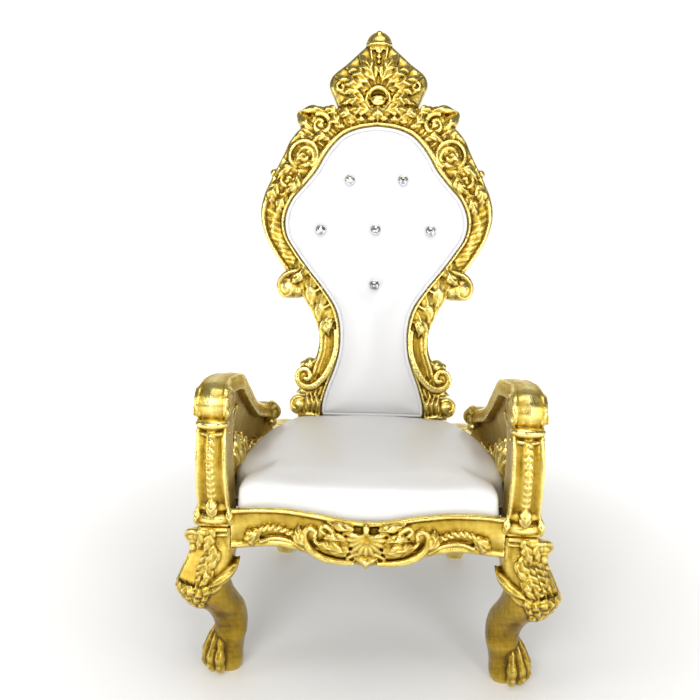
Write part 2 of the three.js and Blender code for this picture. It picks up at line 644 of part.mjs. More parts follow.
const reach = new THREE.Box3().setFromObject(standing);
standing.position.y = -(reach.min.y + reach.max.y) / 2;

export default throne;
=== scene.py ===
"""Gilded baroque throne: carved gold-leafed frame, white leatherette seat and buttoned back."""
import math

import bpy
import numpy as np
from mathutils import Matrix, Vector


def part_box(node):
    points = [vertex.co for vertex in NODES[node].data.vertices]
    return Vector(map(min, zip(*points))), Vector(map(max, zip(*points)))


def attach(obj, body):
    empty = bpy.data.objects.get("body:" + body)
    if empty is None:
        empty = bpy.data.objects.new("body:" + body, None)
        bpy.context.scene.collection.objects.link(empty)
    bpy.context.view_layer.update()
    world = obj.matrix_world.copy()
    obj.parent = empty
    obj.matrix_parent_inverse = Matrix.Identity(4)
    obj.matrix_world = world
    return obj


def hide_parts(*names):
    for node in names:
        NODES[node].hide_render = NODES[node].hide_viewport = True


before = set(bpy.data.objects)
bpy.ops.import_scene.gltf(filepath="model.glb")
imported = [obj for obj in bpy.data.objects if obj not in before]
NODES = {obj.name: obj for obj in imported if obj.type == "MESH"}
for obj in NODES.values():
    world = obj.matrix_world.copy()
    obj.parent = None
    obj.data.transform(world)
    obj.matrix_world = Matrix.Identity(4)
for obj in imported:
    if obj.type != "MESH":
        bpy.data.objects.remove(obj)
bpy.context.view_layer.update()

MM = 0.001

# Millimetre tables below have y = 0 at the front paws; SHIFT takes them into the row frame.
REAR_RAIL_FRONT = 572.0
SHIFT = np.array([0.0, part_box("rear_rail")[0][1] / MM - REAR_RAIL_FRONT, 0.0])
LEAN = math.radians(9)
BACK_FOOT = (572.0, 463.5)
OUT = np.array([0.0, 0.0, 1.0])  # out of the back's face, in the back's own flat frame


# ---- Curves and lofts ---------------------------------------------------------------------
def curve(points, count):
    """Centripetal Catmull-Rom through the points: count + 1 samples, evenly spread over the spans."""
    p = np.array(points, float)
    p = np.vstack([2 * p[0] - p[1], p, 2 * p[-1] - p[-2]])
    out = []
    for s in np.linspace(0, len(p) - 3, count + 1):
        i = min(int(s), len(p) - 4)
        t = s - i
        p0, p1, p2, p3 = p[i:i + 4]
        d0, d1, d2 = (max(1e-6, np.linalg.norm(b - a) ** 0.5) for a, b in ((p0, p1), (p1, p2), (p2, p3)))
        m1 = (p1 - p0) / d0 - (p2 - p0) / (d0 + d1) + (p2 - p1) / d1
        m2 = (p2 - p1) / d1 - (p3 - p1) / (d1 + d2) + (p3 - p2) / d2
        m1, m2 = m1 * d1, m2 * d1
        t2, t3 = t * t, t * t * t
        out.append((2 * t3 - 3 * t2 + 1) * p1 + (t3 - 2 * t2 + t) * m1 + (3 * t2 - 2 * t3) * p2 +
                   (t3 - t2) * m2)
    return np.array(out)


def even(path, count):
    """The path resampled at even steps of its length."""
    length = np.concatenate([[0], np.cumsum(np.linalg.norm(np.diff(path, axis=0), axis=1))])
    at = np.linspace(0, length[-1], count + 1)
    return np.column_stack([np.interp(at, length, path[:, k]) for k in range(path.shape[1])])


def table(rows, at):
    """Linear value of a table of (place, value) rows at a place, held level beyond its ends."""
    rows = np.array(rows, float)
    return np.interp(at, rows[:, 0], rows[:, 1])


def eased(a, b, x):
    """A smooth step from 0 at a to 1 at b."""
    t = np.clip((x - a) / (b - a), 0, 1)
    return t * t * (3 - 2 * t)


def unit(v):
    return v / np.maximum(1e-9, np.linalg.norm(v, axis=-1, keepdims=True))


def skin(rings, looped=False):
    """Closed skin over an (n, m, 3) array of rings, with a fan over each end, or looped on itself."""
    rings = np.asarray(rings, float)
    n, m = rings.shape[:2]
    verts = rings.reshape(-1, 3)
    i, j = np.meshgrid(np.arange(n if looped else n - 1), np.arange(m), indexing="ij")
    a, b, k = i * m, ((i + 1) % n) * m, (j + 1) % m
    faces = np.stack([a + j, b + j, b + k, a + k], -1).reshape(-1, 4).tolist()
    if not looped:
        for ring, start, turn in ((rings[0], 0, 1), (rings[-1], (n - 1) * m, -1)):
            verts = np.vstack([verts, ring.mean(0)])
            last = len(verts) - 1
            faces += [[last, start + q, start + (q + 1) % m][::turn] for q in range(m)]
    return verts, faces


def frames(path, up):
    """Unit direction, side and rise at each point of a path."""
    along = unit(np.gradient(path, axis=0))
    side = unit(np.cross(along, up))
    return along, side, np.cross(side, along)


def tube(path, radius, sides=12, flat=1.0, up=OUT, notch=0.0):
    """A bar along a path. radius is one number or one per point; notch sinks a groove along its top."""
    path = np.asarray(path, float)
    _, side, rise = frames(path, up)
    radius = np.broadcast_to(np.asarray(radius, float), (len(path),))
    turn = 2 * np.pi * (np.arange(sides) + 0.5) / sides
    r = radius[:, None] * (1 - notch * np.exp(-((np.sin(turn) - 1) / 0.12) ** 2))[None]
    rings = path[:, None] + side[:, None] * (r * np.cos(turn))[..., None] + \
        rise[:, None] * (r * flat * np.sin(turn))[..., None]
    return skin(rings)


def bar(points, count, radius, **look):
    """A bar along a smooth curve. radius is a number, a (start, end) pair, or (places 0..1, values)."""
    if np.ndim(radius) == 1:
        radius = np.linspace(*radius, count + 1)
    elif np.ndim(radius) == 2:
        radius = np.interp(np.linspace(0, 1, count + 1), *radius)
    return tube(curve(points, count), radius, **look)


def scroll(centre, radius, start, turns, thick, height=(0.0, 0.0), hand=1, steps=40, notch=0.0, power=1.0):
    """A tube wound in a spiral in the flat frame: each pair runs from the outer end to the eye."""
    t = np.linspace(0, 1, steps)
    turn = math.radians(start) + hand * 2 * np.pi * turns * t
    r = radius[0] + (radius[1] - radius[0]) * t ** power
    path = np.column_stack([centre[0] + r * np.cos(turn), centre[1] + r * np.sin(turn),
                            height[0] + (height[1] - height[0]) * t])
    return tube(path, thick[0] + (thick[1] - thick[0]) * t, notch=notch)


def acanthus(spine, width, height, lobes=4, up=OUT, root=0.5, slant=0.22, depth=1.4, vein=0.45):
    """A carved leaf along a spine: lobed edges, a groove from the midrib to every notch, pointed tip."""
    n, m = 9 * lobes + 8, 15
    path = curve(spine, n - 1)
    along, side, rise = frames(path, up)
    t = np.linspace(0, 1, n)[:, None]
    s = np.linspace(-1, 1, m)[None]
    swell = np.sin(np.pi * np.clip(root * 0.22 + (0.97 - root * 0.22) * t, 0, 1) ** 0.75)
    lobe = 0.62 + 0.38 * np.abs(np.sin(np.pi * (lobes * t + 0.25))) ** 0.6
    half = np.maximum(0.6, width / 2 * swell * lobe)
    rib = 0.5 + 0.5 * np.cos(2 * np.pi * (lobes * t - 0.25 + 0.4 * (1 - np.abs(s))))
    crown = np.maximum(0, 1 - s * s) ** 0.55
    top = height * np.maximum(0.12, swell) ** 0.6 * (
        (1 - vein) * crown + vein * rib * (0.25 + 0.75 * crown) + 0.22 * np.exp(-(s / 0.14) ** 2))
    lead = np.abs(s) ** 1.5 * swell * width * slant
    upper = path[:, None] + side[:, None] * (s * half)[..., None] + rise[:, None] * top[..., None] + \
        along[:, None] * lead[..., None]
    floor = [upper[:, k] - rise * height * depth for k in (-1, m // 2, 0)]
    return skin(np.concatenate([upper, np.stack(floor, 1)], 1))


def leaves(vein, *rows, **look):
    """Leaves that share a vein depth: each row is the spine's points, then width, height and lobes."""
    return [acanthus(row[:-3], *row[-3:], vein=vein, **look) for row in rows]


def ellipsoid(centre, radii, sides=18):
    lat = np.linspace(-np.pi / 2, np.pi / 2, sides // 2 + 1)[1:-1]
    lon = 2 * np.pi * np.arange(sides) / sides
    rings = [[[math.cos(a) * math.cos(b), math.cos(a) * math.sin(b), math.sin(a)] for b in lon] for a in lat]
    verts, faces = skin(np.array(rings))
    verts[-2], verts[-1] = (0, 0, -1), (0, 0, 1)
    return verts * np.array(radii) + np.array(centre), faces


def lathe(profile, centre, axis="z", sides=24, squash=(1, 1)):
    """A turned form: (radius, height) rows about an axis through the centre."""
    turn = 2 * np.pi * np.arange(sides) / sides
    rings = np.array([[[max(r, 0.01) * math.cos(a) * squash[0], max(r, 0.01) * math.sin(a) * squash[1], h]
                       for a in turn] for r, h in profile])
    verts, faces = skin(rings)
    order = {"z": (0, 1, 2), "y": (0, 2, 1), "x": (2, 0, 1)}[axis]
    return verts[:, order] + np.array(centre), faces


def slab(x, y, z, bevel=3.0):
    """A box with softened edges between (low, high) pairs."""
    (x0, x1), (y0, y1), (z0, z1) = x, y, z

    def ring(height, inset):
        b = bevel + inset
        return [(x0 + b, y0 + inset, height), (x1 - b, y0 + inset, height), (x1 - inset, y0 + b, height),
                (x1 - inset, y1 - b, height), (x1 - b, y1 - inset, height), (x0 + b, y1 - inset, height),
                (x0 + inset, y1 - b, height), (x0 + inset, y0 + b, height)]
    return skin(np.array([ring(z0, bevel), ring(z0 + bevel, 0), ring(z1 - bevel, 0), ring(z1, bevel)]))


def moved(part, move):
    """A part with its points passed through a function of the (n, 3) array."""
    return move(part[0]), part[1]


def mirrored(part):
    return part[0] * (-1, 1, 1), [face[::-1] for face in part[1]]


def both(parts):
    return parts + [mirrored(p) for p in parts]


def place_back(points):
    """From the back's flat frame (across, up the lean, out of the face) to the throne."""
    u, v, w = points.T
    return np.column_stack([u, BACK_FOOT[0] + v * math.sin(LEAN) - w * math.cos(LEAN),
                            BACK_FOOT[1] + v * math.cos(LEAN) + w * math.sin(LEAN)])


# ---- From parts to pieces -----------------------------------------------------------------
HAND_SEED, HAND_LENGTH, HAND_DEPTH = 5, 16.0, 0.25  # unevenness of hand carving (mm)
RELIEF_ROUNDS, RELIEF_SPAN = 14, 3.0  # smoothing rounds, and the height (mm) between sunk and proud


def mesh_of(name, parts):
    verts, faces, start = [], [], 0
    for part_verts, part_faces in parts:
        verts.append(part_verts)
        faces += [[start + k for k in face] for face in part_faces]
        start += len(part_verts)
    mesh = bpy.data.meshes.new(name)
    mesh.from_pydata(((np.vstack(verts) + SHIFT) * MM).tolist(), [], faces)
    return mesh


def new_object(name, mesh):
    obj = bpy.data.objects.new(name, mesh)
    bpy.context.scene.collection.objects.link(obj)
    return obj


def applied(obj, *modifiers):
    """Adds (type, settings) modifiers, applies them, and leaves their result as the object's own mesh."""
    for kind, settings in modifiers:
        modifier = obj.modifiers.new(kind, kind)
        for key, value in settings.items():
            setattr(modifier, key, value)
    bpy.context.view_layer.update()
    result = bpy.data.meshes.new_from_object(obj.evaluated_get(bpy.context.evaluated_depsgraph_get()))
    obj.modifiers.clear()
    old, obj.data = obj.data, result
    result.name = obj.name
    bpy.data.meshes.remove(old)
    return obj


def fetched(items, name, width, kind=np.float32):
    """One attribute of a mesh's points or edges, as rows."""
    values = np.empty(len(items) * width, kind)
    items.foreach_get(name, values)
    return values.reshape(-1, width)


def points_of(mesh):
    return fetched(mesh.vertices, "co", 3).astype(float)


def set_points(mesh, co):
    mesh.vertices.foreach_set("co", np.ascontiguousarray(co, np.float32).ravel())
    mesh.update()


def normals_of(mesh):
    return fetched(mesh.vertex_normals, "vector", 3).astype(float)


def edges_of(mesh):
    return fetched(mesh.edges, "vertices", 2, np.int32)


def averaged(values, pairs, rounds):
    """Values smoothed over the mesh's edges."""
    size = len(values)
    count = np.maximum(np.bincount(pairs.ravel(), minlength=size).astype(float), 1)
    for _ in range(rounds):
        total = np.zeros_like(values)
        for a, b in ((0, 1), (1, 0)):
            for k in range(values.shape[1]):
                total[:, k] += np.bincount(pairs[:, a], weights=values[pairs[:, b], k], minlength=size)
        values = 0.4 * values + 0.6 * total / count[:, None]
    return values


def mark_relief(mesh):
    """Stores how far each point stands out of the smoothed surface, from 0 (sunk) to 1 (proud); the gilding uses it to
    paint shade into the hollows and highlight onto the proud parts.
    """
    co, pairs = points_of(mesh), edges_of(mesh)
    proud = ((co - averaged(co, pairs, RELIEF_ROUNDS)) * normals_of(mesh)).sum(1) / MM
    layer = mesh.attributes.new("relief", "FLOAT", "POINT")
    layer.data.foreach_set("value", np.clip(0.5 + proud / RELIEF_SPAN, 0, 1).astype(np.float32))


def waves(points, seed, length, octaves=2):
    """Smooth made-up unevenness in -1..1: sums of slanted waves with a fixed seed."""
    rng = np.random.default_rng(seed)
    total = np.zeros(len(points))
    for octave in range(octaves):
        for _ in range(6):
            direction = unit(rng.normal(size=3)) * 2 * np.pi / (length * rng.uniform(0.7, 1.5) / 2 ** octave)
            total += np.sin(points @ direction + rng.uniform(0, 6.3)) / 6 / 1.7 ** octave
    return total


def carved(name, nodes, parts, voxel=2.1, most=150000, cut=None):
    """Melts closed parts (mm) into one carved, gilded piece that stands for the CAD nodes."""
    obj = new_object(name, mesh_of(name, parts))
    applied(obj, ("REMESH", {"mode": "VOXEL", "voxel_size": (voxel * 1) * MM}),
            ("SMOOTH", {"factor": 0.5, "iterations": 1}))
    mesh = obj.data
    co = points_of(mesh)
    co += normals_of(mesh) * (waves(co / MM, HAND_SEED, HAND_LENGTH) * HAND_DEPTH * MM)[:, None]
    if cut:
        co = cut(co)
    set_points(mesh, co)
    triangles = len(mesh.loops) - 2 * len(mesh.polygons)
    if triangles > most:
        applied(obj, ("DECIMATE", {"ratio": most / triangles}))
    finish_piece(obj, nodes, GILDING)
    mark_relief(obj.data)


def carved_pair(name, node, left, right=None, **look):
    """A left piece and its twin. right holds the twin's own parts, before they are mirrored."""
    carved(f"{name}_left", [f"{node}_left"], left, **look)
    carved(f"{name}_right", [f"{node}_right"], [mirrored(p) for p in right or left], **look)


def bounded(axis, low=None, high=None):
    """A cut that presses points flat against the planes at low and high (m) across an axis."""
    def cut(co):
        co[:, axis] = np.clip(co[:, axis], low, high)
        return co
    return cut


def finish_piece(obj, nodes, material):
    obj.data.materials.clear()
    obj.data.materials.append(material)
    obj.data.polygons.foreach_set("use_smooth", np.ones(len(obj.data.polygons), bool))
    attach(obj, "root")
    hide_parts(*nodes)


# ---- Materials ----------------------------------------------------------------------------
class Shader:
    """A node material: a Principled surface with procedural inputs on object coordinates."""

    def __init__(self, name, **settings):
        self.material = bpy.data.materials.new(name)
        self.material.use_nodes = True
        self.tree = self.material.node_tree
        self.surface = self.tree.nodes["Principled BSDF"]
        self.place = self.node("ShaderNodeTexCoord").outputs["Object"]
        for key, value in settings.items():
            self.surface.inputs[key.replace("_", " ")].default_value = value

    def node(self, kind, inputs=(), **settings):
        made = self.tree.nodes.new(kind)
        for key, value in settings.items():
            setattr(made, key, value)
        for key, value in dict(inputs).items():
            self.plug(made.inputs[key], value)
        return made

    def plug(self, socket, value):
        if isinstance(value, bpy.types.NodeSocket):
            self.tree.links.new(value, socket)
        else:
            socket.default_value = value

    def noise(self, scale, detail=3.0, rough=0.55, place=None):
        return self.node("ShaderNodeTexNoise", {"Vector": place or self.place, "Scale": scale,
                                                "Detail": detail, "Roughness": rough}).outputs["Fac"]

    def ramp(self, value, stops):
        made = self.node("ShaderNodeValToRGB", {"Fac": value})
        ramp = made.color_ramp
        while len(ramp.elements) < len(stops):
            ramp.elements.new(0.5)
        for element, (at, color) in zip(ramp.elements, stops):
            element.position = at
            element.color = (*color, 1) if isinstance(color, tuple) else (color, color, color, 1)
        return made.outputs["Color"]

    def math(self, kind, a, b, clamp=False):
        return self.node("ShaderNodeMath", {0: a, 1: b}, operation=kind, use_clamp=clamp).outputs[0]

    def mix(self, share, a, b, blend="MIX"):
        made = self.node("ShaderNodeMix", data_type="RGBA", blend_type=blend)
        for key, value in ((0, share), (6, a), (7, b)):
            self.plug(made.inputs[key], (*value, 1) if isinstance(value, tuple) else value)
        return made.outputs[2]

    def set(self, name, value):
        self.tree.links.new(value, self.surface.inputs[name])

    def bump(self, height, distance, strength=1.0, base=None):
        inputs = {"Height": height, "Distance": distance, "Strength": strength}
        if base:
            inputs["Normal"] = base
        return self.node("ShaderNodeBump", inputs).outputs["Normal"]


def gilding():
    """Yellow gold leaf over carved wood: painted shade darkens it in the hollows and painted highlight lightens the
    proud edges; rougher in the hollows.
    """
    s = Shader("gilding", Metallic=1.0, Coat_Weight=0.22, Coat_Roughness=0.24)
    relief = s.node("ShaderNodeAttribute", attribute_name="relief").outputs["Fac"]
    patches = s.noise(22.0, 4.0)
    # Painted shade and highlight: tone falls in the hollows and rises on proud carving, following the relief
    # attribute.
    tone = s.math("ADD", s.math("MULTIPLY", relief, 0.8), s.math("MULTIPLY", patches, 0.35))
    height = s.node("ShaderNodeSeparateXYZ", {"Vector": s.place}).outputs["Z"]
    # Painted shade: the gold is darkened towards the floor, most on flat parts and least on proud carving.
    painted_low_shade = s.ramp(height, ((0.0, 0.20), (0.10, 0.33), (0.21, 0.28), (0.33, 0.0)))
    flatness = s.math("SUBTRACT", 1.6, s.math("MULTIPLY", relief, 1.2))
    tone = s.math("SUBTRACT", tone, s.math("MULTIPLY", painted_low_shade, flatness))
    color = s.ramp(tone, ((0.2, (0.15, 0.085, 0.005)), (0.40, (0.40, 0.25, 0.016)),
                          (0.62, (0.60, 0.43, 0.07)), (0.9, (0.87, 0.72, 0.25))))
    flecks = s.ramp(s.noise(160.0, 2.0), ((0.60, 0.0), (0.72, 1.0)))
    color = s.mix(s.math("MULTIPLY", flecks, 0.25), color, (0.42, 0.24, 0.02))
    s.set("Base Color", color)
    rough = s.math("ADD", s.math("MULTIPLY", s.noise(60.0), 0.28), s.math("MULTIPLY", relief, -0.22))
    s.set("Roughness", s.math("ADD", rough, 0.32, clamp=True))
    coarse = s.bump(s.noise(55.0, 3.0), 0.0022, 0.5)
    drawn = s.node("ShaderNodeMapping", {"Vector": s.place, "Scale": (330.0, 26.0, 26.0)}).outputs["Vector"]
    strokes = s.bump(s.noise(1.0, 3.0, 0.6, place=drawn), 0.0012, 0.34, base=coarse)
    s.set("Normal", s.bump(s.noise(420.0, 3.0), 0.0004, 0.35, base=strokes))
    return s.material


def leatherette(name, tint):
    """White leatherette: fine pebbled grain, faint creases, a little yellowing and dust in scattered scuffs."""
    s = Shader(name, Roughness=0.36, Coat_Weight=0.18, Coat_Roughness=0.22, IOR=1.48)
    clouds = s.ramp(s.noise(3.2, 4.0), ((0.3, 0.0), (0.75, 1.0)))
    color = s.mix(clouds, tint, tuple(c * f for c, f in zip(tint, (0.955, 0.955, 0.965))))
    scuffs = s.ramp(s.noise(34.0, 5.0, 0.7), ((0.62, 0.0), (0.80, 1.0)))
    s.set("Base Color", s.mix(s.math("MULTIPLY", scuffs, 0.07), color, (0.55, 0.53, 0.50)))
    grain = s.node("ShaderNodeTexVoronoi", {"Vector": s.place, "Scale": 620.0}).outputs["Distance"]
    s.set("Roughness", s.math("ADD", s.math("MULTIPLY", s.noise(9.0, 3.0), 0.16), 0.27))
    creases = s.bump(s.noise(16.0, 3.0), 0.004, 0.14)
    s.set("Normal", s.bump(grain, 0.00025, 0.22, base=creases))
    return s.material


def crystal():
    """Cut glass over silver foil: bright and dark facets painted into the colour as painted reflections."""
    s = Shader("crystal", Metallic=0.85, Roughness=0.07, Coat_Weight=1.0, Coat_Roughness=0.02)
    # Painted reflections: cells of random brightness stand in for the facets' glints.
    cells = s.node("ShaderNodeTexVoronoi", {"Vector": s.place, "Scale": 210.0}).outputs["Color"]
    level = s.node("ShaderNodeSeparateColor", {"Color": cells}).outputs[0]
    s.set("Base Color", s.ramp(level, ((0.0, (0.16, 0.17, 0.19)), (0.5, (0.62, 0.64, 0.68)),
                                       (1.0, (0.97, 0.98, 1.0)))))
    return s.material


def dust_cover():
    """The seat board: white leatherette on top, black spun cloth with pressed dots underneath."""
    s = Shader("dust_cover", Roughness=0.8)
    fibres = s.noise(900.0, 4.0, 0.7)
    normal = s.node("ShaderNodeNewGeometry").outputs["Normal"]
    upper = s.ramp(s.node("ShaderNodeSeparateXYZ", {"Vector": normal}).outputs["Z"], ((0.4, 0.0), (0.6, 1.0)))
    cloth = s.ramp(fibres, ((0.3, (0.010, 0.010, 0.012)), (0.75, (0.045, 0.045, 0.050))))
    s.set("Base Color", s.mix(upper, cloth, (0.72, 0.72, 0.73)))
    dots = s.node("ShaderNodeTexVoronoi", {"Vector": s.place, "Scale": 260.0}).outputs["Distance"]
    s.set("Normal", s.bump(dots, 0.0004, 0.5, base=s.bump(fibres, 0.0005, 0.5)))
    return s.material


def floor_paint():
    """Pale seamless studio floor that glows as painted light, dim near the middle and brighter towards its far edges.
    """
    s = Shader("floor", Roughness=0.6, Emission_Strength=1.0)
    tone = s.ramp(s.noise(1.5, 2.0), ((0.3, 0.86), (0.7, 0.88)))
    s.set("Base Color", tone)
    # Painted light: the floor's glow rises with distance from the middle.
    away = s.node("ShaderNodeVectorMath", {0: s.place}, operation="LENGTH").outputs["Value"]
    s.set("Emission Color", s.ramp(s.math("MULTIPLY", away, 0.2), ((0.10, 0.10), (0.26, 0.50), (0.55, 1.0))))
    return s.material


GILDING = gilding()
SEAT_WHITE = leatherette("seat_leatherette", (0.80, 0.80, 0.805))
# The back's leatherette is a darker, bluer copy of the seat's: painted shade.
SHADED_BACK_WHITE = leatherette("back_leatherette_shaded", (0.775, 0.78, 0.795))
CRYSTAL = crystal()
DUST_COVER = dust_cover()


# ---- The back -----------------------------------------------------------------------------
SURROUND = [
    [[0, 1010], [0, 935]], [[80, 1003], [59, 926]], [[150, 986], [106, 906]],
    [[215, 955], [142, 871]], [[268, 905], [167, 835]], [[298, 845], [189, 796]],
    [[328, 785], [227, 749]], [[356, 722], [266, 702]], [[366, 662], [286, 644]],
    [[352, 597], [279, 592]], [[320, 535], [248, 541]], [[280, 478], [208, 486]],
    [[236, 415], [162, 428]], [[198, 350], [122, 365]], [[176, 290], [107, 298]],
    [[175, 232], [110, 228]], [[192, 175], [124, 172]], [[208, 110], [147, 110]],
    [[222, 55], [160, 60]], [[226, -24], [164, -24]],
]
STATIONS = 520


def rim_lines(count):
    """The surround's outer and inner edge on one side, from the crest down."""
    return [curve([pair[k] for pair in SURROUND], count) for k in (0, 1)]


def surround():
    """The hourglass rim: outer roll, carved channel and inner bead, its carving changing down the side."""
    outer, inner = rim_lines(STATIONS)
    middle = (outer + inner) / 2
    s = np.concatenate([[0], np.cumsum(np.linalg.norm(np.diff(middle, axis=0), axis=1))])[:, None]
    v = middle[:, 1:2]
    q = np.linspace(0, 1, 36)[None]

    def hump(at, wide):
        return np.exp(-((q - at) / wide) ** 2)
    roll = 21 * np.clip(1 - ((q - 0.13) / 0.15) ** 2, 0, 1) ** 0.5
    bead = 22 * np.clip(1 - ((q - 0.91) / 0.10) ** 2, 0, 1) ** 0.5
    bed = 9 + 5 * hump(0.5, 0.3)
    base = np.maximum(np.maximum(roll, bead), bed)
    in_bed = np.clip(1 - ((q - 0.52) / 0.33) ** 4, 0, 1)
    vine = np.sin(2 * np.pi * (s / 34 + 0.6 * q)) * np.sin(2 * np.pi * (1.8 * q - s / 58)) + \
        0.12 * np.sin(2 * np.pi * (s / 13 - 1.5 * q))
    scales = 9 * (1 - np.mod(s / 30 + 1.4 * np.abs(q - 0.5), 1.0)) ** 0.8 * \
        (1 + 0.22 * np.sin(2 * np.pi * 5 * q))
    twist = 3 * np.abs(np.sin(np.pi * (s / 50 - 1.05 * q))) ** 0.7
    wander = 0.35 * np.sin(s / 17.0) + 0.25 * np.sin(s / 29.0 + 1)
    fan = 7 * np.abs(np.sin(np.pi * (s / 27 + 1.3 * np.abs(q - 0.45) + wander))) ** 0.6 + \
        2 * np.sin(2 * np.pi * (s / 13 + 2 * q + wander))
    cove = 5 * hump(0.30, 0.06) - 5 * hump(0.56, 0.16) + 3 * hump(0.80, 0.05)
    ribs = 5 * np.sin(2 * np.pi * 4.5 * q) + 5 * np.sin(2 * np.pi * s / 44)
    zones = [(880, 1100, fan), (700, 880, scales), (486, 700, 2.0 * vine), (300, 486, twist),
             (152, 300, cove), (-30, 152, ribs)]
    relief = sum(eased(low - 9, low + 9, v) * (1 - eased(high - 9, high + 9, v)) * form
                 for low, high, form in zones)
    # Where the carving runs over the outer roll.
    wide = eased(290, 330, v) * (1 - eased(480, 500, v)) + eased(690, 720, v)
    height = base * (1 - 0.55 * wide * hump(0.13, 0.2)) + relief * np.maximum(in_bed, wide * np.clip(
        1 - ((q - 0.42) / 0.46) ** 4, 0, 1))
    height = height * np.clip(q / 0.05, 0, 1) ** 0.5
    across = outer[:, None] + (inner - outer)[:, None] * q[..., None]
    face = np.concatenate([across, height[..., None]], -1)

    def edge(share, level):
        ring = outer + (inner - outer) * share
        return np.column_stack([ring, np.full(len(ring), level)])[:, None]
    rings = np.concatenate([edge(0.10, -50), edge(0.02, -46), edge(-0.01, -36), edge(-0.005, -16), face,
                            edge(1.0, 8), edge(1.0, -49), edge(0.6, -50)], 1)
    return both([skin(rings)])


def crest():
    """The crest: a plate with plain sloping edges, palmette, flaring leaves, cabochon and finial."""
    half = curve([[0, 1188], [34, 1189], [47, 1179], [100, 1131], [146, 1092], [154, 1064], [142, 1036],
                  [131, 1008], [110, 968], [0, 950]], 90)
    outline = np.vstack([half, half[-2:0:-1] * (-1, 1)])
    heart = np.array([0, 1055])
    levels = [(0.93, -46), (0.985, -40), (1.0, -28), (1.0, -4), (0.985, 3), (0.93, 8), (0.85, 11), (0.78, 11),
              (0.4, 12)]
    plate = skin(np.array([np.column_stack([heart + (outline - heart) * share, np.full(len(outline), level)])
                           for share, level in levels]))
    finial = lathe([(0, -40), (37, -36), (41, -24), (41, -10), (38, 2), (32, 12), (23, 20), (12, 25), (0, 27)],
                   (0, 1203, -6), axis="y", sides=36, squash=(1, 0.82))
    crown = [ellipsoid((0, 1215, 17), (11, 10, 9)),
             bar([(-38, 1188, 8), (-20, 1184, 24), (0, 1182, 28), (20, 1184, 24), (38, 1188, 8)], 24, 5.5)]
    stem = [bar([(x * 1.1, 1178, 14), (x, 1152, 20), (x * 0.75, 1128, 18)], 14, 5.0) for x in (-24, 24)]
    beads = [ellipsoid((0, 1164 - 17 * i, 18), (11 - 2 * i, 8, 7), 14) for i in range(3)]
    side = [
        acanthus([(8, 1056, 14), (26, 1100, 36), (60, 1152, 26)], 50, 17, 4, slant=0.35, vein=0.3),
        *leaves(0.35,
                ((20, 1046, 16), (58, 1090, 30), (102, 1118, 14), 46, 14, 4),
                ((34, 1046, 16), (80, 1064, 28), (136, 1090, 12), 40, 13, 4),
                ((40, 1030, 14), (82, 1040, 24), (120, 1036, 12), 34, 11, 3),
                ((30, 1002, 14), (70, 1014, 26), (116, 1002, 12), 40, 13, 4),
                ((14, 976, 18), (56, 984, 28), (108, 976, 14), 40, 12, 4),
                ((70, 960, 16), (104, 972, 24), (130, 958, 12), 34, 10, 3)),
        scroll((116, 1054), (19, 5), 200, 1.3, (6.5, 4), (14, 20), hand=-1),
        scroll((86, 1104), (14, 4), 20, 1.1, (5.5, 4), (16, 22), hand=1),
        bar([(30, 1036, 22), (36, 1008, 26), (22, 982, 26)], 14, 6),
        *[ellipsoid((20 + 31 * i, 957 - 3 * i * i + i, 19), (13, 8, 9), 14) for i in range(4)],
    ]
    cabochon = [ellipsoid((0, 1013, 16), (25, 18, 11), 30),
                bar([(-32, 1018, 16), (-24, 1040, 24), (0, 1049, 28), (24, 1040, 24), (32, 1018, 16)], 30, 7),
                *leaves(0.3, ((0, 992, 18), (0, 974, 26), (0, 950, 16), 44, 11, 2))]
    return [plate, finial, *crown, *stem, *beads, *both(side), *cabochon]


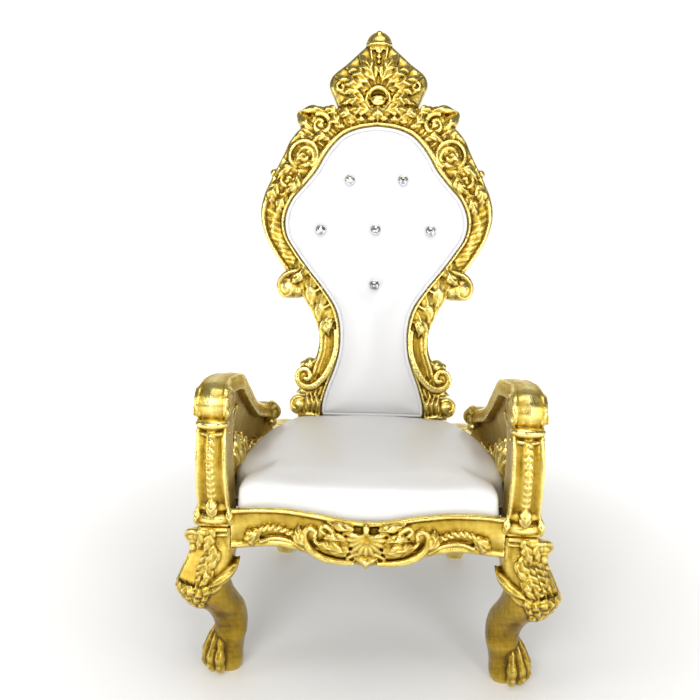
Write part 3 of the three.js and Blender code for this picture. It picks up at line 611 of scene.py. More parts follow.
def shoulders():
    """Horns, C-scrolls, rosettes, knobs and the leaves between them."""
    x, y = 228, 844
    rosette = [
        lathe([(0, -22), (47, -20), (50, 0), (49, 11), (42, 14), (30, 11), (0, 10)], (x, y, 4), sides=40,
              squash=(1, 0.94)),
        scroll((x, y), (46, 41), -50, 0.80, (8, 6.5), (17, 20), steps=60),
        scroll((x - 2, y - 2), (30, 9), 215, -1.05, (8.5, 6), (18, 24), steps=50),
        *leaves(0.3,
                ((x + 26, y - 28, 14), (x + 12, y - 4, 24), (x - 16, y + 12, 16), 30, 11, 3),
                ((x - 28, y - 22, 14), (x - 12, y - 28, 22), (x + 14, y - 32, 14), 24, 9, 2)),
        *[ellipsoid((x + 17 * math.cos(a), y + 17 * math.sin(a), 18), (8, 8, 8), 14) for a in (0.6, 2.5, 4.4)],
    ]
    horn = [
        bar([(198, 918, -12), (214, 940, -8), (232, 958, -6), (243, 970, -5)], 16, ([0, 0.6, 1], [26, 24, 17])),
        ellipsoid((244, 972, -5), (13, 16, 14)),
        ellipsoid((196, 962, -12), (26, 22, 26)),
        *leaves(0.25,
                ((150, 972, 8), (196, 986, 18), (250, 982, 4), 30, 13, 2),
                ((204, 924, 10), (226, 946, 16), (246, 974, 4), 26, 9, 2)),
    ]
    arch = [
        scroll((178, 938), (35, 9), 60, 1.25, (8.5, 5), (18, 26), steps=70),
        ellipsoid((178, 938, 14), (13, 13, 14)),
        *leaves(0.3,
                ((120, 962, 14), (146, 982, 24), (178, 986, 14), 32, 12, 3),
                ((150, 896, 14), (178, 900, 26), (206, 884, 16), 30, 11, 3),
                ((112, 930, 14), (132, 954, 24), (140, 978, 14), 36, 12, 3)),
        bar([(248, 906, 8), (268, 886, 10), (281, 858, 8)], 14, 7),
    ]
    lower = [
        ellipsoid((325, 792, -8), (14, 14, 19)),
        scroll((278, 764), (26, 8), 120, 1.15, (8, 5), (16, 24), hand=-1, steps=60),
        ellipsoid((278, 764, 14), (12, 12, 12)),
        *leaves(0.3,
                ((254, 808, 12), (286, 798, 24), (314, 768, 12), 32, 12, 3),
                ((244, 784, 12), (258, 750, 26), (296, 722, 12), 38, 13, 4),
                ((302, 760, 10), (324, 728, 24), (330, 686, 10), 42, 13, 4),
                ((282, 722, 12), (302, 690, 20), (310, 652, 8), 32, 10, 3)),
    ]
    return both(rosette + horn + arch + lower)


def edges_at(v):
    """Where the surround's outer and inner edges stand at a height."""
    return tuple(float(np.interp(-v, -line[:, 1], line[:, 0])) for line in rim_lines(STATIONS))


def sides_of_back():
    """Ear scrolls at the narrowing, the leaf wound down the neck, and the scrolls at the foot."""
    ear = [
        lathe([(0, -42), (32, -40), (38, -28), (39, -8), (35, 8), (26, 18), (12, 23), (0, 24)], (270, 432, 0),
              sides=40, squash=(1, 0.94)),
        ellipsoid((246, 424, -10), (27, 28, 30), 24),
        ellipsoid((244, 458, -6), (30, 26, 32), 24),
        bar([(212, 480, 12), (246, 482, 18), (280, 473, 16), (300, 450, 10), (302, 422, 8), (286, 404, 10),
              (266, 410, 16), (262, 428, 20)], 60, (9, 6)),
        *leaves(0.3, ((222, 500, 12), (242, 460, 26), (262, 444, 22), 34, 11, 3)),
    ]
    neck = []
    for i in range(4):
        v = 466 - 50 * i
        outer, inner = edges_at(v)
        middle = (inner + outer) / 2
        start, end = (edges_at(v + 50)[1] + 10, v + 50, 10), (edges_at(v - 58)[0] - 10, v - 58, 9)
        neck += leaves(0.2, (start, (middle + 6, v + 4, 17), end, 42, 8, 2), slant=0.12)
        neck.append(bar([(inner + 10, v + 16, 13), (middle, v - 6, 19),
                          (edges_at(v - 40)[0] - 12, v - 40, 13)], 20, 4.5))
    neck += leaves(0.15, ((132, 330, 14), (146, 306, 22), (140, 276, 12), 30, 10, 1))
    volute = [
        bar([(119, 300, 16), (118, 240, 18), (132, 190, 20), (160, 142, 20), (194, 116, 20), (226, 120, 18),
              (241, 144, 18), (230, 168, 18), (208, 170, 20), (198, 152, 22), (207, 139, 24), (218, 146, 25)],
             110, ([0, 0.35, 0.7, 1], [8, 11, 8, 6]), flat=0.9, notch=0.3),
        bar([(168, 300, 8), (168, 244, 10), (180, 204, 10), (204, 184, 8)], 40, 6),
        lathe([(0, -42), (31, -40), (35, -22), (35, 4), (29, 16), (12, 21), (0, 22)], (214, 146, 0), sides=40),
        ellipsoid((202, 184, -12), (24, 26, 28), 24),
        slab((150, 206), (24, 128), (-46, 12), 8),
        ellipsoid((224, 186, -14), (12, 12, 22), 20),
    ]
    foot = [
        ellipsoid((234, 56, -8), (35, 34, 30), 30),
        ellipsoid((206, 46, -8), (36, 30, 28), 24),
        scroll((238, 58), (27, 15), 150, -0.6, (5, 4), (10, 18), steps=40),
        *leaves(0.12, *[((176 + 15 * i, 34, 12), (173 + 15 * i, 66, 22), (186 + 13 * i, 104, 14), 19, 9, 1)
                        for i in range(3)]),
        *leaves(0.15, ((206, 96, 10), (226, 102, 18), (246, 96, 6), 22, 8, 1)),
        bar([(172, 22, 14), (200, 28, 20), (236, 24, 14)], 14, 7),
    ]
    return both(ear + neck + volute + foot)


def back_frame():
    foot_rail = slab((-172, 172), (-20, 24), (-46, 8), 4)
    parts = [moved(p, place_back) for p in (*surround(), *crest(), *shoulders(), *sides_of_back(), foot_rail)]
    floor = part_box("rear_rail")[1][2] + 0.0006
    carved("back_carving", ["back_frame"], parts, voxel=2.2, most=190000, cut=bounded(2, floor))


# ---- Front rail ---------------------------------------------------------------------------
APRON_HALF = 311.7
APRON_TOP = [(0, 440), (45, 442), (110, 452), (190, 457), (260, 456), (APRON_HALF, 450)]
APRON_BOTTOM = [(0, 330), (35, 337), (76, 344), (115, 347), (149, 354), (205, 362), (250, 358),
                (APRON_HALF, 350)]
APRON_FACE = [(0, -66), (90, -60), (180, -46), (APRON_HALF, -42)]
SEAT_BOARD_TOP = 428


def soft_table(rows, at):
    """The table's value with its corners rounded off."""
    return sum(table(rows, np.abs(at + step)) for step in (-18, -9, 0, 9, 18)) / 5


def on_apron(points):
    """Flat carving (across, up, out) laid on the bulging face of the front rail."""
    x, z, out = points.T
    return np.column_stack([x, soft_table(APRON_FACE, x) - out, z])


def front_rail():
    x = np.linspace(-APRON_HALF, APRON_HALF, 240)
    top, bottom, face = (soft_table(rows, x) for rows in (APRON_TOP, APRON_BOTTOM, APRON_FACE))
    lip, rear = face + 11, face + 28
    share = np.linspace(0, 1, 22)[:, None]
    field = np.stack([face + 4 - 3 * np.sin(np.pi * share) ** 2,
                      bottom + 20 + (top - 14 - bottom - 20) * share], -1)
    under = [(rear, bottom + 6), (rear - 6, bottom + 1), (face + 8, bottom), (face + 1, bottom + 3),
             (face - 2, bottom + 8), (face - 2, bottom + 13), (face + 1, bottom + 18)]
    over = [(face + 2, top - 12), (face - 2, top - 9), (face - 3, top - 5), (face, top - 1), (face + 4, top),
            (lip - 2, top), (lip, top - 2), (lip, x * 0 + SEAT_BOARD_TOP - 3), (rear, x * 0 + SEAT_BOARD_TOP - 4)]
    section = [np.stack(row, -1) for row in under] + list(field) + [np.stack(row, -1) for row in over]
    rings = np.stack([np.column_stack([x, row]) for row in section], 1)
    ribs = []
    for i in range(11):
        turn = math.radians(-186 + 19.2 * i)
        reach = 46 + 5 * math.sin(math.radians(180 * i / 10))
        tip = (reach * math.cos(turn), 412 + reach * math.sin(turn))
        ribs.append(bar([(0, 412, 6), (tip[0] * 0.55, 412 + (tip[1] - 412) * 0.55, 13), (*tip, 5)], 14,
                         ([0, 0.7, 1], [2.5, 6.2, 5])))
        ribs.append(ellipsoid((*tip, 4), (6.5, 6.5, 7), 12))
    drop = skin(np.array([
        [(-36, 360, -8), (-12, 368, -8), (12, 368, -8), (36, 360, -8), (12, 338, -8), (0, 325, -8), (-12, 338, -8)],
        [(-36, 360, 2), (-12, 366, 4), (12, 366, 4), (36, 360, 2), (12, 340, 5), (0, 326, 1), (-12, 340, 5)],
        [(-5, 350, 17), (-2, 352, 18), (2, 352, 18), (5, 350, 17), (2, 345, 17), (0, 342, 16), (-2, 345, 17)]]))
    middle = [*ribs, drop, ellipsoid((0, 424, 2), (9, 15, 10)),
              bar([(-44, 352, 2), (-26, 366, 8), (0, 373, 10), (26, 366, 8), (44, 352, 2)], 40, 4.2)]
    strands = []
    for turned in (0, math.pi):
        t = np.linspace(0, 1, 90)
        line = curve([(146, 388, 3), (172, 404, 6), (206, 414, 7), (238, 408, 5), (262, 388, 3)], 89)
        wound = line + 4.2 * np.column_stack([0 * t, np.cos(30 * t + turned), np.sin(30 * t + turned)])
        strands.append(tube(wound, 4.4, sides=8))
    side = [
        bar([(26, 344, 6), (60, 347, 9), (94, 353, 10), (122, 366, 9), (138, 388, 8), (139, 408, 7),
              (128, 420, 7), (114, 414, 8), (117, 402, 10)], 70, ([0, 0.3, 0.6, 1], [6, 9.5, 8, 4.5])),
        bar([(44, 364, 6), (72, 368, 9), (98, 378, 9), (116, 394, 7), (112, 404, 8)], 40, (6, 4)),
        bar([(44, 392, 4), (62, 404, 8), (80, 424, 9), (96, 430, 7), (102, 420, 7), (92, 412, 10)], 50, (7, 4)),
        *leaves(0.3,
                ((40, 374, 3), (72, 384, 16), (112, 388, 6), 32, 12, 3),
                ((46, 398, 3), (72, 408, 14), (98, 400, 6), 26, 10, 2),
                ((28, 424, 1), (54, 430, 10), (88, 438, 2), 22, 8, 2),
                ((134, 376, 2), (152, 398, 12), (152, 424, 2), 28, 10, 3),
                ((240, 404, 3), (262, 394, 12), (280, 372, 2), 28, 10, 3),
                ((244, 392, 2), (262, 380, 10), (262, 364, 2), 22, 8, 2)),
        bar([(140, 366, 3), (176, 384, 5), (212, 388, 5), (244, 376, 3)], 40, 5),
        *strands,
    ]
    parts = [skin(rings)] + [moved(p, on_apron) for p in (*middle, *both(side))]
    low_x, high_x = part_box("front_rail")[0][0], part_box("front_rail")[1][0]
    carved("front_rail_carving", ["front_rail"], parts, voxel=1.8, most=90000, cut=bounded(0, low_x, high_x))


# ---- Front legs ---------------------------------------------------------------------------
LEG_TOP = 406
LEG_BLOCK = {"inner": 312, "outer": 390, "front": -48, "back": 40}
LEG_SECTIONS = [
    (0, 340, 20, 28, 24), (12, 342, 20, 36, 30), (44, 342, 20, 38, 32), (74, 338, 18, 38, 33),
    (106, 331, 14, 39, 35), (140, 331, 14, 40, 37), (176, 340, 6, 44, 42), (204, 354, -9, 48, 46),
    (236, 371, -24, 55, 50), (272, 379, -30, 58, 52), (300, 370, -24, 57, 51),
    (344, 356, -12, 49, 47), (380, 352, -6, 42, 42), (402, 350, -5, 40, 42),
]
KNEE_PLANE = {"turn": -58, "low": 268, "high": 362, "reach": 43}


def facing(turn, rise=0.0):
    """The direction at an angle (degrees) round the leg, tipped up by a rise."""
    a = math.radians(turn)
    return np.array([math.cos(a), math.sin(a), rise])


def leg_loft(sections, sides, power, steps, plane=None):
    """Smooth loft of rounded-square sections (height, middle x, middle y, half width, half depth). plane cuts
    one flat on it between two heights."""
    turn = 2 * np.pi * np.arange(sides) / sides - np.pi / 2

    def bow(c):
        return np.sign(c) * np.abs(c) ** power
    rings = []
    for z, x, y, wide, deep in curve(sections, steps):
        ring = np.column_stack([wide * bow(np.cos(turn)), deep * bow(np.sin(turn))])
        if plane and plane["low"] < z < plane["high"]:
            outward = facing(plane["turn"])[:2]
            over = np.maximum(0, ring @ outward - plane["reach"] * (wide + deep) / 108)
            ring = ring - over[:, None] * outward
        rings.append(np.column_stack([ring + (x, y), np.full(sides, z)]))
    return skin(np.array(rings))


def on_leg(turn, z, out):
    """A point on the front leg's surface at an angle and height, standing out by some millimetres."""
    rows = curve(LEG_SECTIONS, 80)
    x, y, wide, deep = (np.interp(z, rows[:, 0], rows[:, k]) for k in range(1, 5))
    a = math.radians(turn)
    return x + (wide + out) * math.cos(a), y + (deep + out) * math.sin(a), z


def toes():
    parts = []
    for i in range(4):
        outward = facing(-84 + 29 * i, 0.15)
        reach = [(8, 130), (18, 108), (31, 84), (41, 60), (45, 36), (38, 12)]
        path = curve([(347 + r * outward[0], 14 + 0.85 * r * outward[1], z) for r, z in reach], 36)
        knuckles = np.interp(np.linspace(0, 1, 37), [0, 0.22, 0.38, 0.5, 0.68, 0.8, 0.9, 1],
                             [4, 7.5, 11, 9.5, 13.5, 10.8, 12.2, 8])
        tendon = np.interp(np.linspace(0, 1, 22), [0, 0.5, 1], [2, 4.2, 2.5])
        parts += [tube(path, knuckles, up=outward, flat=1.15),
                  tube(path[2:24] + outward * 9.5, tendon, up=outward, sides=8),
                  ellipsoid(path[30] + outward * 9, (7, 7, 9), 14)]
    return parts


def knee_leaves(shell):
    """Hem of curled leaves under the knee, the leaf down its middle, the inner wing and the outer ear.
    With shell, two more leaves and a string of beads cover the flat."""
    def leaf(*row, vein=0.3, **look):
        spine, (width, height, lobes) = row[:-3], row[-3:]
        return acanthus([on_leg(*at) for at in spine], width, height, lobes, up=facing(spine[1][0], 0.15),
                        vein=vein, **look)

    def curl(turn, z, size):
        outward = facing(turn)
        side = np.array([-outward[1], outward[0], 0])
        t = np.linspace(0, 1, 30)
        a, reach = 2 * np.pi * 1.1 * t, size * (1 - 0.7 * t)
        path = np.array(on_leg(turn, z, 0)) + outward * (2 + 5 * t[:, None]) + \
            side * (reach * np.cos(a))[:, None] + np.array([0, 0, 1.0]) * (reach * np.sin(a))[:, None]
        return tube(path, np.linspace(4.8, 3, 30), up=outward, sides=8)
    hem, uneven = [], np.random.default_rng(4)
    for height, turns, wide in ((264, (-110, -90, -72, -54, -36, -18, 0), 24),
                                (246, (-98, -80, -62, -44, -26, -8), 22),
                                (230, (-80, -62, -46, -30, -14), 20), (217, (-62, -46, -32), 18)):
        for turn in turns:
            drop, lean, size = uneven.uniform(-4, 4), uneven.uniform(-9, 9), uneven.uniform(0.8, 1.15)
            hem.append(leaf((turn - lean, height + 12 + drop, -1), (turn, height + drop, 4),
                            (turn + lean, height - 13 + drop, 2), wide * size, 8, 2))
    hem += [curl(*row) for row in ((-100, 252, 7), (-76, 240, 7), (-52, 232, 8), (-28, 240, 7), (-8, 252, 7),
                                   (-56, 216, 7), (-42, 210, 8), (-30, 226, 7))]
    edges = [bar([on_leg(*at) for at in spine], count, thick) for spine, count, thick in (
        (((-112, 268, 0), (-84, 272, 0), (-50, 271, 0), (-16, 270, 0), (6, 276, 0)), 40, 4.5),
        (((-96, 352, 0), (-94, 310, 1), (-100, 272, 1)), 24, 4),
        (((-6, 352, 0), (-2, 312, 0), (0, 276, 0)), 24, 5))]
    middle = [leaf(*row) for row in (
        ((-88, 404, 0), (-84, 380, 8), (-74, 350, 4), 28, 9, 3),
        ((-60, 402, 0), (-56, 378, 7), (-50, 350, 3), 26, 9, 3),
        ((-34, 398, 0), (-28, 376, 7), (-22, 352, 3), 24, 9, 3),
        ((-98, 366, 0), (-94, 344, 7), (-84, 326, 3), 22, 8, 2),
        ((-112, 352, 0), (-104, 332, 7), (-94, 312, 3), 22, 8, 2),
        ((-90, 326, 0), (-98, 306, 7), (-108, 288, 3), 22, 8, 2),
        ((-110, 312, 0), (-100, 294, 6), (-90, 280, 3), 18, 7, 2))]
    middle += [curl(*row) for row in ((-106, 344, 7), (-92, 316, 7), (-104, 298, 7))]
    middle.append(leaf((-92, 358, -2), (-86, 318, 1), (-82, 276, -1), 34, 9, 5, vein=0.45))
    if shell:
        middle.append(leaf((-68, 362, -10), (-62, 318, -8), (-58, 274, -8), 42, 9, 6, vein=0.5))
        middle.append(leaf((-44, 356, -8), (-38, 316, -7), (-36, 276, -6), 30, 7, 5, vein=0.4))
        middle += [ellipsoid(on_leg(-74, 352 - 13 * i, -2), (7, 7, 6), 12) for i in range(6)]
    wing = [leaf((-112, 280, 0), (-134, 294, 9), (-156, 310, 13), (-176, 324, 12), 27, 11, 1, vein=0.12,
                 slant=0.3),
            leaf((-110, 262, 0), (-130, 274, 7), (-150, 292, 8), 18, 8, 1, vein=0.12)]
    ear = [ellipsoid((402, -16, 374), (19, 22, 15)),
           bar([(366, -46, 392), (390, -44, 394), (412, -32, 388), (420, -22, 374), (412, -26, 362),
                 (400, -34, 366)], 30, (8, 5), up=np.array([0.3, -1, 0])),
           ellipsoid((404, -22, 346), (12, 14, 13)), ellipsoid((411, -22, 322), (9, 11, 13))]
    return [*hem, *edges, *middle, *wing, *ear]


def front_leg_parts(shell):
    inner, outer, front, back = (LEG_BLOCK[side] for side in ("inner", "outer", "front", "back"))
    block = slab((inner + 0.4, outer), (front + 4, back), (346, LEG_TOP), 4)
    mould = [bar([(inner + 6, front + 4, z), (350, front + 1, z), (outer - 6, front + 4, z)], 12, thick)
             for z, thick in ((401, 5), (388, 3.5))]
    return [leg_loft(LEG_SECTIONS, 72, 0.82, 130, KNEE_PLANE), block, *toes(), *knee_leaves(shell), *mould]


def front_legs():
    limit, under = LEG_BLOCK["inner"] + 0.6, soft_table(APRON_BOTTOM, np.array([APRON_HALF]))[0] - 1

    def clear_of_rail(points):
        high = points[:, 2] > under
        points = points.copy()
        points[high, 0] = np.maximum(points[high, 0], limit)
        return points
    left, right = ([moved(p, clear_of_rail) for p in front_leg_parts(shell)] for shell in (True, False))
    carved_pair("front_leg_carving", "front_leg", left, right, voxel=1.8, most=80000,
                cut=bounded(2, 0, LEG_TOP * MM))


# ---- Rear legs and rails ------------------------------------------------------------------
REAR_FOOT = (284, 598)
RAIL_TOP, RAIL_BOTTOM = 455, 376
SIDE_RAIL = {"frontX": 368, "backX": 300, "bow": 16, "half": 15}


def rear_legs():
    x, y = REAR_FOOT
    rows = [(0, x, y, 25, 25), (20, x, y, 31, 31), (44, x, y, 29, 29), (72, x, y, 25, 25),
            (200, x, y + 9, 27, 28), (RAIL_BOTTOM, x, y + 2, 31, 31), (RAIL_TOP, x, y, 31, 31)]
    mould = lathe([(10, 78), (29, 80), (30, 86), (29, 92), (10, 94)], (x, y, 0))
    carved_pair("rear_leg_turned", "rear_leg", [leg_loft(rows, 40, 0.5, 60), mould], voxel=2.4, most=12000,
                cut=bounded(2, 0, RAIL_TOP * MM))


def side_rail_x(y):
    t = np.clip(np.asarray(y, float) / REAR_FOOT[1], 0, 1)
    return SIDE_RAIL["frontX"] + (SIDE_RAIL["backX"] - SIDE_RAIL["frontX"]) * t + \
        SIDE_RAIL["bow"] * np.sin(np.pi * t)


def side_rails():
    half, low, high = SIDE_RAIL["half"], RAIL_BOTTOM, RAIL_TOP
    section = [(-half + 1, low + 1), (half - 7, low), (half - 1, low + 3), (half, low + 8), (half - 1, low + 13),
               (half - 5, low + 16), (half - 5, high - 16), (half - 1, high - 12), (half, high - 7),
               (half - 2, high - 2), (half - 7, high), (-half + 1, high)]
    y = np.linspace(LEG_BLOCK["back"] + 0.9, REAR_FOOT[1] - 33, 60)
    rings = np.stack([np.column_stack([side_rail_x(y) + a, y, np.full(len(y), z)]) for a, z in section], 1)
    carved_pair("side_rail_moulded", "side_rail", [skin(rings)], voxel=2.4, most=14000)


def rear_rail():
    half = REAR_FOOT[0] - 33
    y0, y1 = REAR_FOOT[1] - 26, REAR_FOOT[1] + 20
    board = slab((-half, half), (y0 + 0.4, y1 - 3), (RAIL_BOTTOM + 0.5, RAIL_TOP - 0.5), 3)
    beads = [tube(np.array([(-half + 2, y1 - 5, z), (0, y1 - 5, z), (half - 2, y1 - 5, z)], float), 4.5)
             for z in (RAIL_BOTTOM + 7, RAIL_TOP - 7)]
    carved("rear_rail_moulded", ["rear_rail"], [board, *beads], voxel=2.4, most=12000)


# ---- Arms ---------------------------------------------------------------------------------
ARM = {"width": 76, "thick": 40, "web": 28}
FORWARD = np.array([0, -1.0, 0])
ARM_LINE = [(32, 350), (90, 333), (200, 334), (300, 341), (400, 337), (500, 328)]
WEB_TOP = [(10, 694), (90, 706), (140, 676), (200, 634), (300, 580), (400, 542), (505, 500)]
ARM_TOP_PATH = [(-12, 668), (-20, 690), (-6, 712), (34, 722), (90, 719), (140, 686), (200, 644), (300, 590),
                (390, 556), (450, 536), (488, 520)]
ARM_POST_PATH = [(-6, LEG_TOP + 14), (-8, 450), (-16, 500), (-20, 550), (-12, 600), (2, 640), (6, 676)]


def ribbon(path, thick, width, section):
    """A band along a side-view path (y, z): section rows are (across -1..1, out -1..1, extra mm)."""
    yz = curve(path, 150)
    step = unit(np.gradient(yz, axis=0))
    normal = np.column_stack([-step[:, 1], step[:, 0]])
    t = np.linspace(0, 1, len(yz))
    rings = []
    for across, out, extra in section:
        offset = out * thick(t) / 2 + extra
        rings.append(np.column_stack([across * width(t) / 2, yz + normal * offset[:, None]]))
    return skin(np.stack(rings, 1))


def on_line(points):
    points = points.copy()
    points[:, 0] += table(ARM_LINE, points[:, 1])
    return points


def on_rail(points):
    points = points.copy()
    y, z = points[:, 1], points[:, 2]
    height = np.clip((z - RAIL_TOP) / (table(WEB_TOP, y) - RAIL_TOP), 0, 1)
    foot, top = side_rail_x(y), table(ARM_LINE, y)
    points[:, 0] += foot + (top - foot) * height
    return points


def on_web(points):
    """Flat carving (back, up, out) laid on the inner face of the arm's web."""
    y, z, out = points.T
    return on_rail(np.column_stack([-ARM["web"] / 2 - out, y, z]))


def turned_over(part):
    return part[0], [face[::-1] for face in part[1]]


def arm_post():
    """The post: a husk strip between two plain flutes, its base mouldings, its neck and the lip above."""
    section = [(-1, -0.9, 0), (-1, 0, 0), (-1, 0.75, 0), (-0.98, 0.9, 0), (-0.93, 1, 0), (-0.84, 1, 0.5),
               (-0.78, 1, -1), (-0.66, 0.97, -3), (-0.5, 0.95, -3.6), (-0.36, 0.98, -2.4), (-0.28, 1, 0),
               (-0.2, 1, 1.2), (0, 1, 1.6)]
    section += [(-a, o, e) for a, o, e in section[-2::-1]]
    post = ribbon(ARM_POST_PATH, lambda t: 66 + 14 * np.sin(np.pi * t) - 12 * t,
                  lambda t: ARM["width"] - 6 * t, section)
    line = curve(ARM_POST_PATH, 60)
    depth = np.linspace(0, 1, len(line))
    husks = []
    for i in range(13):
        k = 17 + 3 * i
        y, z = line[k]
        face = y - (33 + 7 * math.sin(math.pi * depth[k]) - 6 * depth[k])
        husks += leaves(0.2, ((0, face + 1, z + 11), (0, face - 2, z + 2), (0, face, z - 11), 19, 4, 1),
                        up=FORWARD)
        husks.append(ellipsoid((0, face - 1, z + 9), (5 if i % 2 else 8, 3.5, 3), 14))
    base = [slab((-37, 40), (-46, 38), (LEG_TOP + 0.6, LEG_TOP + 12), 4),
            *[bar([(left, side, LEG_TOP + z), (0, mid, LEG_TOP + low), (right, side, LEG_TOP + z)], 20, thick)
              for left, right, side, mid, z, low, thick in (
                  (-38, 39, -34, -42, 22, 20, 13), (-36, 36, -30, -39, 50, 48, 12), (-35, 35, -34, -43, 67, 66, 4.5))],
            *leaves(0.3, ((0, -50, LEG_TOP + 30), (0, -56, 458), (0, -50, 486), 30, 8, 2),
                    *[((a * 40, -38, LEG_TOP + 6), (a * 38, -46, 432), (a * 34, -40, 462), 20, 8, 2)
                      for a in (-1, 1)], up=FORWARD)]
    neck = [ellipsoid((0, -24, 648), (39, 23, 14), 36),
            bar([(-38, -20, 629), (-20, -34, 627), (0, -38, 626), (20, -34, 627), (38, -20, 629)], 24, 4.5)]
    across = np.linspace(-41, 41, 60)
    lip = tube(np.column_stack([across, -25 + 0 * across, 676 + 0 * across]),
               9.5 + 1.9 * np.sin(across * 0.8) + 1.3 * np.sin(across * 0.43 + 2))
    return [post, *husks, *base, *neck, lip]


def arm_top():
    """The armrest sweeping down from the front scroll to the small rear one."""
    section = [(-1.02, -1, 0), (-1.06, -0.6, 0), (-1.06, 0.3, 0), (-1.02, 0.62, 0), (-0.94, 0.84, 0),
               (-0.84, 0.90, 0), (-0.74, 0.84, 0), (-0.4, 0.93, 0), (0, 1, 0), (0.4, 0.93, 0), (0.74, 0.84, 0),
               (0.84, 0.90, 0), (0.94, 0.84, 0), (0.98, 0.62, 0), (1, 0.3, 0), (1, -0.6, 0), (0.96, -1, 0)]
    rest = ribbon(ARM_TOP_PATH, lambda t: ARM["thick"] + 0 * t,
                  lambda t: ARM["width"] - 12 * np.minimum(1, 3 * t), section)
    front, rear = (0, 694), (498, 524)
    faces = []
    for a in (-1, 1):
        for (y, z), reach, half, start, hand in ((front, 27, 39, 110, -1), (rear, 20, 31, 60, 1)):
            wound, sides = scroll((0, 0), (reach, 6), start, hand * 1.4, (5.5, 4), steps=60)
            place = [a * (half + 0.4 * wound[:, 2]), y + wound[:, 0], z + wound[:, 1]]
            faces.append((np.column_stack(place), sides))
    return [rest, *faces,
            lathe([(0, -40), (31, -39), (34, -36), (34, 36), (31, 39), (0, 40)], (0, *front), axis="x", sides=44),
            lathe([(0, -32), (23, -31), (26, -28), (26, 28), (23, 31), (0, 32)], (0, *rear), axis="x", sides=36),
            ellipsoid((-22, 472, 522), (22, 30, 30), 24), ellipsoid((-30, 462, 498), (14, 18, 16), 18),
            bar([(-10, 452, 546), (-30, 462, 552), (-44, 476, 538), (-44, 484, 516), (-34, 484, 504)], 24, 7,
                 up=FORWARD),
            *leaves(0.3, ((-26, 430, 548), (-34, 456, 556), (-42, 478, 544), 34, 9, 2),
                    up=np.array([-0.5, -0.3, 1]))]


def arm_web():
    """The web: hollowed under a raised rim, with flowers and leaves in its lower front corner."""
    y = np.concatenate([np.linspace(10, 140, 40), np.linspace(145, 505, 70)])
    top = table(WEB_TOP, y)
    levels = np.linspace(0, 1, 24)
    face = -ARM["web"] / 2
    base = RAIL_TOP + 0.4
    hollow = np.sin(np.pi * levels[:, None] ** 0.8) * np.sin(np.pi * np.clip((y - 10) / 495, 0, 1)) ** 0.5
    inside = np.stack([np.full((24, len(y)), face) + 12 * hollow, np.tile(y, (24, 1)),
                       base + (top - base) * levels[:, None]], -1)
    outside = inside[::-1] * (0, 1, 1) + np.stack([-face - 3 * hollow[::-1], 0 * hollow, 0 * hollow], -1)
    web = skin(np.concatenate([inside, outside]).transpose(1, 0, 2))
    rim = bar([(42, 470, 3), (46, 560, 5), (56, 622, 6), (84, 652, 4), (112, 650, 0)], 60,
               ([0, 0.2, 0.6, 1], [6, 8, 8, 3]))
    carving = [
        *leaves(0.35,
                ((52, 470, 0), (86, 520, 14), (104, 588, 4), 52, 14, 4),
                ((60, 466, 0), (124, 512, 14), (164, 566, 4), 50, 14, 4),
                ((80, 466, 0), (160, 498, 13), (224, 530, 4), 44, 13, 4),
                ((150, 464, 0), (230, 484, 11), (300, 500, 3), 36, 11, 4),
                ((250, 462, 0), (320, 474, 10), (390, 476, 3), 28, 9, 4)),
        scroll((118, 560), (17, 5), 200, 1.2, (5.5, 4), (4, 9)),
        scroll((196, 530), (15, 5), 180, 1.2, (5, 4), (4, 8)),
        *[ellipsoid((74 + 9 * math.cos(a), 612 + 9 * math.sin(a), 1), (7, 7, 6), 12)
          for a in (0, 1.3, 2.5, 3.8, 5)],
    ]
    return [moved(web, on_rail), *[turned_over(moved(p, on_web)) for p in (rim, *carving)]]


def arm_parts():
    return [moved(p, on_line) for p in (*arm_post(), *arm_top())] + arm_web()


def arms():
    floor, rail = (LEG_TOP + 0.3) * MM, (RAIL_TOP + 0.3) * MM
    behind = (LEG_BLOCK["back"] + 2 + SHIFT[1]) * MM

    def stand(co):
        co[:, 2] = np.where(co[:, 1] > behind, np.maximum(co[:, 2], rail), np.maximum(co[:, 2], floor))
        return co
    carved_pair("arm_carving", "arm", arm_parts(), voxel=2.0, most=90000, cut=stand)


# ---- Upholstery ---------------------------------------------------------------------------
BUTTONS = [(83, 767), (-83, 767), (172, 612), (-172, 612), (0, 614), (0, 441)]
PAD_FACE = 22
CUSHION = {"bottom": 428.3, "side": 504, "middle": 262, "back": 548}
CLOTH_FRAMES = 20


